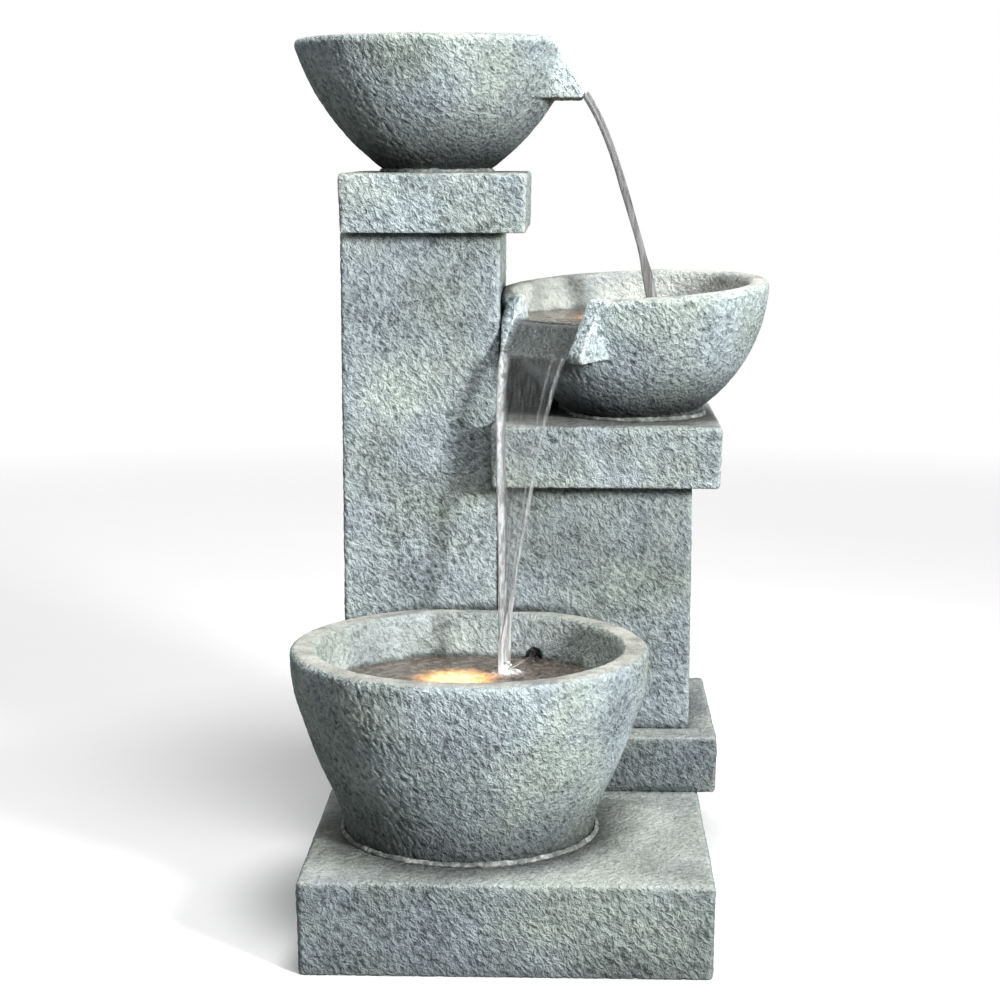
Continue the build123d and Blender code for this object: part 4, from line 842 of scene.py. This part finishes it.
def pool(name, node, axis, level, look, landing, lamp, glow_radius, spout=None):
    """A water surface that reaches the walls around it, with rings that spread from where the water lands."""
    walls = tree_of([node])
    rings, spokes = POOL_RINGS, POOL_SPOKES
    centre = Vector((axis[0], axis[1], level))
    reach = []
    for k in range(spokes):
        turn = 2 * math.pi * k / spokes
        aim = Vector((math.cos(turn), math.sin(turn), 0))
        hit = walls.ray_cast(centre, aim, 0.3)
        far = hit[3] + WALL_OVERLAP if hit[3] is not None else 0.3
        if spout is not None:
            facing = math.cos(turn - spout)
            if facing > 0.3:
                far = min(far, (WEIR_D - 0.001) / facing)
        reach.append(far)
    points = [centre]
    for r in range(1, rings + 1):
        for k in range(spokes):
            turn = 2 * math.pi * k / spokes
            d = reach[k] * r / rings
            points.append(centre + Vector((d * math.cos(turn), d * math.sin(turn), 0)))
    faces = [(0, 1 + k, 1 + (k + 1) % spokes) for k in range(spokes)]
    for r in range(rings - 1):
        for k in range(spokes):
            a, b = 1 + r * spokes + k, 1 + r * spokes + (k + 1) % spokes
            faces.append((a, a + spokes, b + spokes, b))
    mesh = bpy.data.meshes.new(name)
    mesh.from_pydata([tuple(p) for p in points], [], faces)
    co = corners(mesh)
    away = np.hypot(co[:, 0] - landing[0], co[:, 1] - landing[1])
    rings_up = np.sin(away / RIPPLE_LENGTH * 2 * math.pi) * np.exp(-away / RIPPLE_FADE) * RIPPLE_HEIGHT
    chop = noise(co * 70.0, 21) * 0.0007 + noise(co * 190.0, 22) * 0.0003
    co[:, 2] += rings_up + chop
    put(mesh, co)
    obj = new_object(name, mesh)
    # Painted lamp light on the water: a warm patch around the point over the lamp, fading out to glow_radius.
    near = np.hypot(co[:, 0] - lamp[0], co[:, 1] - lamp[1]) + 0.006 * noise(co * 90.0, 23)
    attribute(mesh, "glow", 1 - step(near, glow_radius * 0.10, glow_radius))
    attribute(mesh, "body", np.full(len(co), 0.8))
    patchy = step(noise(co * 330.0, 24), -0.4, 0.3)
    attribute(mesh, "foam", (1 - step(away, FOAM_NEAR, FOAM_FAR)) * patchy)
    return finish_piece(obj, look, ROOT)


def spout_frame(axis, foot_z, tilt, azimuth):
    """Origin, direction to the spout, across and up of a bowl."""
    flat = Vector((math.cos(azimuth), math.sin(azimuth), 0))
    up = Vector((0, 0, math.cos(tilt))) + flat * math.sin(tilt)
    along = flat * math.cos(tilt) - Vector((0, 0, math.sin(tilt)))
    across = up.cross(along)
    return Vector((axis[0], axis[1], foot_z)), along, across, up


# The film's line in a bowl's own frame: distance from the axis, height above the rim's plane
FILM_PROFILE = [(0.098, -0.0226), (0.112, -0.0232), (0.1200, -0.0240), (0.1252, -0.0272), (0.1310, -0.0350),
                (0.1380, -0.0447), (0.1436, -0.0516), (0.1482, -0.0538)]


FILM_ROWS, FILM_COLS = 60, 90
FALL_ROWS, FALL_COLS = 190, 64
FALL_SHEET = 0.0007


def film(name, place, height, look):
    """The sheet of water that slides over a spout's weir and down its face."""
    origin, along, across, up = place
    rows, cols = FILM_ROWS, FILM_COLS
    profile = np.array(FILM_PROFILE)
    run = np.concatenate([[0], np.cumsum(np.linalg.norm(np.diff(profile, axis=0), axis=1))])
    at = np.linspace(0, run[-1], rows)
    px, pz = np.interp(at, run, profile[:, 0]), np.interp(at, run, profile[:, 1])
    for _ in range(4):
        px[1:-1] = (px[:-2] + px[1:-1] + px[2:]) / 3
        pz[1:-1] = (pz[:-2] + pz[1:-1] + pz[2:]) / 3
    points, body = [], []
    for r in range(rows):
        for c in range(cols):
            w = (2 * c / (cols - 1) - 1) * (CHANNEL_HALF_W + 0.001)
            streak = noise(np.array([[w * 260.0, at[r] * 16.0, 3.0]]), 25)[0]
            lift = 0.0004 * streak
            points.append(origin + along * (px[r] + lift) + across * w + up * (height + pz[r] + lift))
            body.append(0.25 + 0.5 * abs(streak) + 0.35 * step(abs(w), 0.034, CHANNEL_HALF_W))
    mesh = grid_mesh(name, points, rows, cols)
    attribute(mesh, "body", body)
    attribute(mesh, "foam", np.zeros(len(body)))
    obj = new_object(name, mesh)
    return finish_piece(obj, look, ROOT)


def fall(name, left, right, speed, land_z, narrowing, strands, look, haze):
    """A falling sheet of water that draws together as it drops, with thicker strands in it.

    narrowing: share of the width that is left at each share of the drop.
    strands: (place across from -1 to 1, half thickness at the top, at the bottom).
    haze: how much denser the sheet is at the bottom."""
    left, right, speed = Vector(left), Vector(right), Vector(speed)
    middle, half = (left + right) / 2, (right - left) / 2
    drop = middle.z - land_z
    time = (speed.z + math.sqrt(speed.z**2 + 2 * GRAVITY * drop)) / GRAVITY
    rows, cols = FALL_ROWS, FALL_COLS
    front, back, body, foam = [], [], [], []
    for r in range(rows):
        t = time * r / (rows - 1)
        centre = middle + speed * t - Vector((0, 0, GRAVITY * t * t / 2))
        share = min(1.0, max(0.0, (middle.z - centre.z) / drop))
        width = narrowing(share)
        flow = (speed - Vector((0, 0, GRAVITY * t))).normalized()
        normal = flow.cross(half).normalized()
        sway = 0.0010 * math.sin(share * 9.0 + 1.0) * share
        for c in range(cols):
            u = math.sin((2 * c / (cols - 1) - 1) * math.pi / 2)
            metres = half.length * max(width, 0.02)
            thick = FALL_SHEET * (1 - 0.4 * share)
            for place, top, bottom in strands:
                size = top + (bottom - top) * share
                size *= 1 + 0.14 * math.sin(share * 17.0 + place * 7.0) * share
                thick += size * math.exp(-(((u - place) * metres / max(size, 0.0006)) ** 2))
            spot = centre + half * (u * width) + normal * sway
            jitter = noise(np.array([[u * 6.0, share * 7.0, 1.0]]), 26)[0] * 0.0006 * (0.2 + share)
            spot = spot + normal * jitter
            rim = 0.15 if c in (0, cols - 1) else 1.0
            front.append(spot + normal * (thick * rim))
            back.append(spot - normal * (thick * rim))
            body.append(min(1.0, 0.04 + haze * share * share + max(0.0, thick - FALL_SHEET) / 0.0030))
            foam.append(0.55 * float(step(share, 0.93, 1.0)))
    mesh = bpy.data.meshes.new(name)
    faces = []
    size = rows * cols
    for r in range(rows - 1):
        for c in range(cols - 1):
            a = r * cols + c
            faces.append((a, a + 1, a + cols + 1, a + cols))
            faces.append((size + a + cols, size + a + cols + 1, size + a + 1, size + a))
        for c in (0, cols - 1):
            a = r * cols + c
            side = (a, a + cols, size + a + cols, size + a)
            faces.append(side if c == 0 else side[::-1])
    for r in (0, rows - 1):
        for c in range(cols - 1):
            a = r * cols + c
            side = (a, size + a, size + a + 1, a + 1)
            faces.append(side if r == 0 else side[::-1])
    mesh.from_pydata([tuple(p) for p in front + back], [], faces)
    mesh.update()
    attribute(mesh, "body", body + body)
    attribute(mesh, "foam", foam + foam)
    obj = new_object(name, mesh)
    return finish_piece(obj, look, ROOT)


SPLASH_DROPS = 46
DROP_MIN, DROP_MAX = 0.0006, 0.0021


def splash(name, spot, radius, look, seed):
    """Bubbles and small drops thrown up where a fall lands."""
    random = np.random.RandomState(seed)
    bm = bmesh.new()
    for _ in range(SPLASH_DROPS):
        size = random.uniform(DROP_MIN, DROP_MAX)
        d = abs(random.normal(0, radius * 0.55))
        turn = random.uniform(0, 2 * math.pi)
        up = size * 0.3 if random.rand() < 0.86 else random.uniform(0.004, 0.014)
        made = bmesh.ops.create_icosphere(bm, subdivisions=2, radius=size)
        shift = Vector((spot[0] + d * math.cos(turn), spot[1] + d * math.sin(turn), spot[2] + up))
        squash = random.uniform(0.6, 1.0)
        for v in made["verts"]:
            v.co = Vector((v.co.x, v.co.y, v.co.z * squash)) + shift
    mesh = bpy.data.meshes.new(name)
    bm.to_mesh(mesh)
    bm.free()
    attribute(mesh, "body", np.full(len(mesh.vertices), 0.5))
    attribute(mesh, "foam", np.full(len(mesh.vertices), 0.55))
    obj = new_object(name, mesh)
    return finish_piece(obj, look, ROOT)


POOL = water_look("water_pool", (0.165, 0.135, 0.108), 0.60, 0.92, 0.05, glow=1.35)
POOL_MIDDLE = water_look("water_pool_middle", (0.19, 0.135, 0.090), 0.55, 0.90, 0.05, glow=0.85)
# The two falls are one water in two greys: the paler lower fall and the darker upper fall are painted light
# and shade.
FALLING = water_look("water_falling", (0.47, 0.48, 0.48), 0.05, 0.88, 0.12, streaky=True)
FALLING_UPPER = water_look("water_falling_upper", (0.20, 0.205, 0.205), 0.10, 0.92, 0.12, streaky=True)
SLIDING = water_look("water_sliding", (0.22, 0.235, 0.23), 0.08, 0.50, 0.08, streaky=True)
FOAM = water_look("water_foam", (0.80, 0.80, 0.78), 0.35, 0.8, 0.15)



def above_lens(node, shift=(0.0, 0.0)):
    """The middle of a lamp's lens as seen from above, moved by the water's refraction."""
    lens_low, lens_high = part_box(node)
    return (lens_low.x + lens_high.x) / 2 + shift[0], (lens_low.y + lens_high.y) / 2 + shift[1]


BASIN_GLOW_R, MIDDLE_GLOW_R = 0.060, 0.062
BASIN_GLOW_SHIFT = (-0.002, 0.018)
UNLIT, UNLIT_R = (1.0, 1.0), 0.05  # the top bowl has no lamp, so its glow lies far outside it
basin_lamp = above_lens("basin_lamp_lens", BASIN_GLOW_SHIFT)
middle_lamp = above_lens("middle_lamp_lens")

pool("water_basin", "basin", BASIN_AXIS, BASIN_LEVEL, POOL, LOWER_LANDING, basin_lamp, BASIN_GLOW_R)
pool(
    "water_middle", "middle_bowl", MIDDLE_AXIS, MIDDLE_LEVEL, POOL_MIDDLE, UPPER_LANDING, middle_lamp,
    MIDDLE_GLOW_R, spout=SPOUT_AZIMUTH,
)
pool("water_top", "top_bowl", TOP_AXIS, TOP_LEVEL, POOL_MIDDLE, TOP_AXIS, UNLIT, UNLIT_R, spout=0.0)

middle_place = spout_frame(MIDDLE_AXIS, MIDDLE_FOOT_Z, MIDDLE_TILT, SPOUT_AZIMUTH)
top_place = spout_frame(TOP_AXIS, TOP_FOOT_Z, 0.0, 0.0)
film("water_film_middle", middle_place, MIDDLE_H, SLIDING)
film("water_film_top", top_place, TOP_H, SLIDING)


def lip(place, height, share):
    """A point on the edge where the film leaves the spout, at a share of the channel's half width."""
    origin, along, across, up = place
    d, z = FILM_PROFILE[-1]
    return origin + along * d + across * (share * CHANNEL_HALF_W) + up * (height + z)


LOWER_SPEED, UPPER_SPEED = (-0.129, -0.195, -0.35), (0.47, 0.0, -0.68)
LOWER_STRANDS = [
    (-0.93, 0.0046, 0.0050), (0.92, 0.0013, 0.0018), (0.62, 0.0009, 0.0014), (-0.2, 0.0006, 0.0012),
]
UPPER_STRANDS = [(-0.9, 0.0027, 0.0032), (0.9, 0.0027, 0.0032), (0.0, 0.0014, 0.0028)]
DIP = 0.001  # how far a fall reaches below the water's level


def lower_width(share):
    return max(0.035, (1 - share) ** 1.25)


def upper_width(share):
    return 0.10 + 0.90 * (1 - share) ** 2.4


fall(
    "water_fall_lower", lip(middle_place, MIDDLE_H, -0.97), lip(middle_place, MIDDLE_H, 0.97), LOWER_SPEED,
    BASIN_LEVEL - DIP, lower_width, LOWER_STRANDS, FALLING, haze=0.34,
)
fall(
    "water_fall_upper", lip(top_place, TOP_H, -0.9), lip(top_place, TOP_H, 0.9), UPPER_SPEED,
    MIDDLE_LEVEL - DIP, upper_width, UPPER_STRANDS, FALLING_UPPER, haze=0.20,
)
splash("water_splash_lower", (*LOWER_LANDING, BASIN_LEVEL), 0.011, FOAM, 31)
splash("water_splash_upper", (*UPPER_LANDING, MIDDLE_LEVEL), 0.009, FOAM, 32)

# ---------------------------------------------------------------- hoses and leads in place

for cord_name, route, thick, cord_slot, cord_node, cord_length in (
    ("hose_basin", BASIN_HOSE, HOSE_D, "hose", "basin_hose", 0.1716),
    ("hose_riser", RISER_HOSE, HOSE_D, "hose", "riser_hose", 0.5138),
    ("lead_basin_lamp", LAMP_LEAD, LEAD_D, "lead_jacket", "basin_lamp_lead", 0.3999),
    ("lead_pump", PUMP_LEAD, LEAD_D, "lead_jacket", "pump_lead", 0.3518),
    ("lead_middle_lamp", MIDDLE_LEAD, LEAD_D, "lead_jacket", "middle_lamp_lead", 0.4102),
):
    cord_curve(cord_name, route, thick, cord_slot, cord_node)

# ---------------------------------------------------------------- floor, lights and camera


FLOOR_HALF, FLOOR_FADE_START, FLOOR_FADE_END = 3.3, 0.9, 3.2


def floor_look():
    material, tree, shader = new_material("floor_pale")
    place = object_place(tree)
    shade = texture(tree, place, 3.0, 4.0)
    tree.links.new(blend(tree, shade, (0.80, 0.80, 0.80), (0.86, 0.86, 0.855)), shader.inputs["Base Color"])
    shader.inputs["Roughness"].default_value = 0.9
    far = add(tree, "ShaderNodeVectorMath", {0: place}, operation="LENGTH").outputs["Value"]
    tree.links.new(span(tree, far, FLOOR_FADE_START, FLOOR_FADE_END, 1.0, 0.0), shader.inputs["Alpha"])
    return material


bm = bmesh.new()
bmesh.ops.create_grid(bm, x_segments=24, y_segments=24, size=FLOOR_HALF)
floor_mesh = bpy.data.meshes.new("floor")
bm.to_mesh(floor_mesh)
bm.free()
floor = new_object("floor", floor_mesh)
floor.data.materials.append(floor_look())
floor.visible_diffuse = False


def softbox(name, place, aim, size, watts, colour=(1.0, 1.0, 1.0)):
    data = bpy.data.lights.new(name, "AREA")
    data.shape = "DISK"
    data.size = size
    data.energy = watts
    data.color = colour
    lamp = bpy.data.objects.new(name, data)
    bpy.context.scene.collection.objects.link(lamp)
    lamp.location = place
    lamp.rotation_euler = (Vector(aim) - Vector(place)).to_track_quat("-Z", "Y").to_euler()
    return lamp


softbox("key", (1.95, -2.05, 1.20), (0.0, 0.0, 0.45), 0.6, 142.0)
softbox("top", (0.25, -0.55, 2.7), (0.0, 0.0, 0.3), 0.9, 50.0)
softbox("fill", (-2.4, -1.9, 1.2), (0.0, 0.0, 0.4), 1.8, 14.0, (0.95, 0.98, 1.0))
softbox("rim", (-0.6, 2.3, 2.3), (0.0, 0.0, 0.5), 1.2, 34.0)

world = bpy.data.worlds.new("studio")
bpy.context.scene.world = world
world.use_nodes = True
sky = world.node_tree.nodes["Background"]
seen = add(world.node_tree, "ShaderNodeLightPath").outputs["Is Camera Ray"]
sky.inputs["Color"].default_value = (1.0, 1.0, 1.0, 1.0)
upward = add(world.node_tree, "ShaderNodeTexCoord").outputs["Generated"]
upward = add(world.node_tree, "ShaderNodeSeparateXYZ", {"Vector": upward}).outputs["Z"]
dim = span(world.node_tree, upward, -0.25, 0.6, 0.04, 0.28)
lit = add(world.node_tree, "ShaderNodeMix", {0: seen, 2: dim, 3: 1.0}, data_type="FLOAT").outputs[0]
world.node_tree.links.new(lit, sky.inputs["Strength"])

CAMERA_PLACE = Vector((0.0424, -2.048, 0.7148))
CAMERA_AIM = Vector((-0.03393, 0.98627, -0.16160))
bpy.context.scene.view_settings.view_transform = "Standard"
camera_data = bpy.data.cameras.new("camera")
camera_data.sensor_width = 36.0
camera_data.lens = 77.07
camera_data.clip_end = 50.0
camera = bpy.data.objects.new("camera", camera_data)
bpy.context.scene.collection.objects.link(camera)
camera.location = CAMERA_PLACE
camera.rotation_euler = CAMERA_AIM.to_track_quat("-Z", "Y").to_euler()
bpy.context.scene.camera = camera
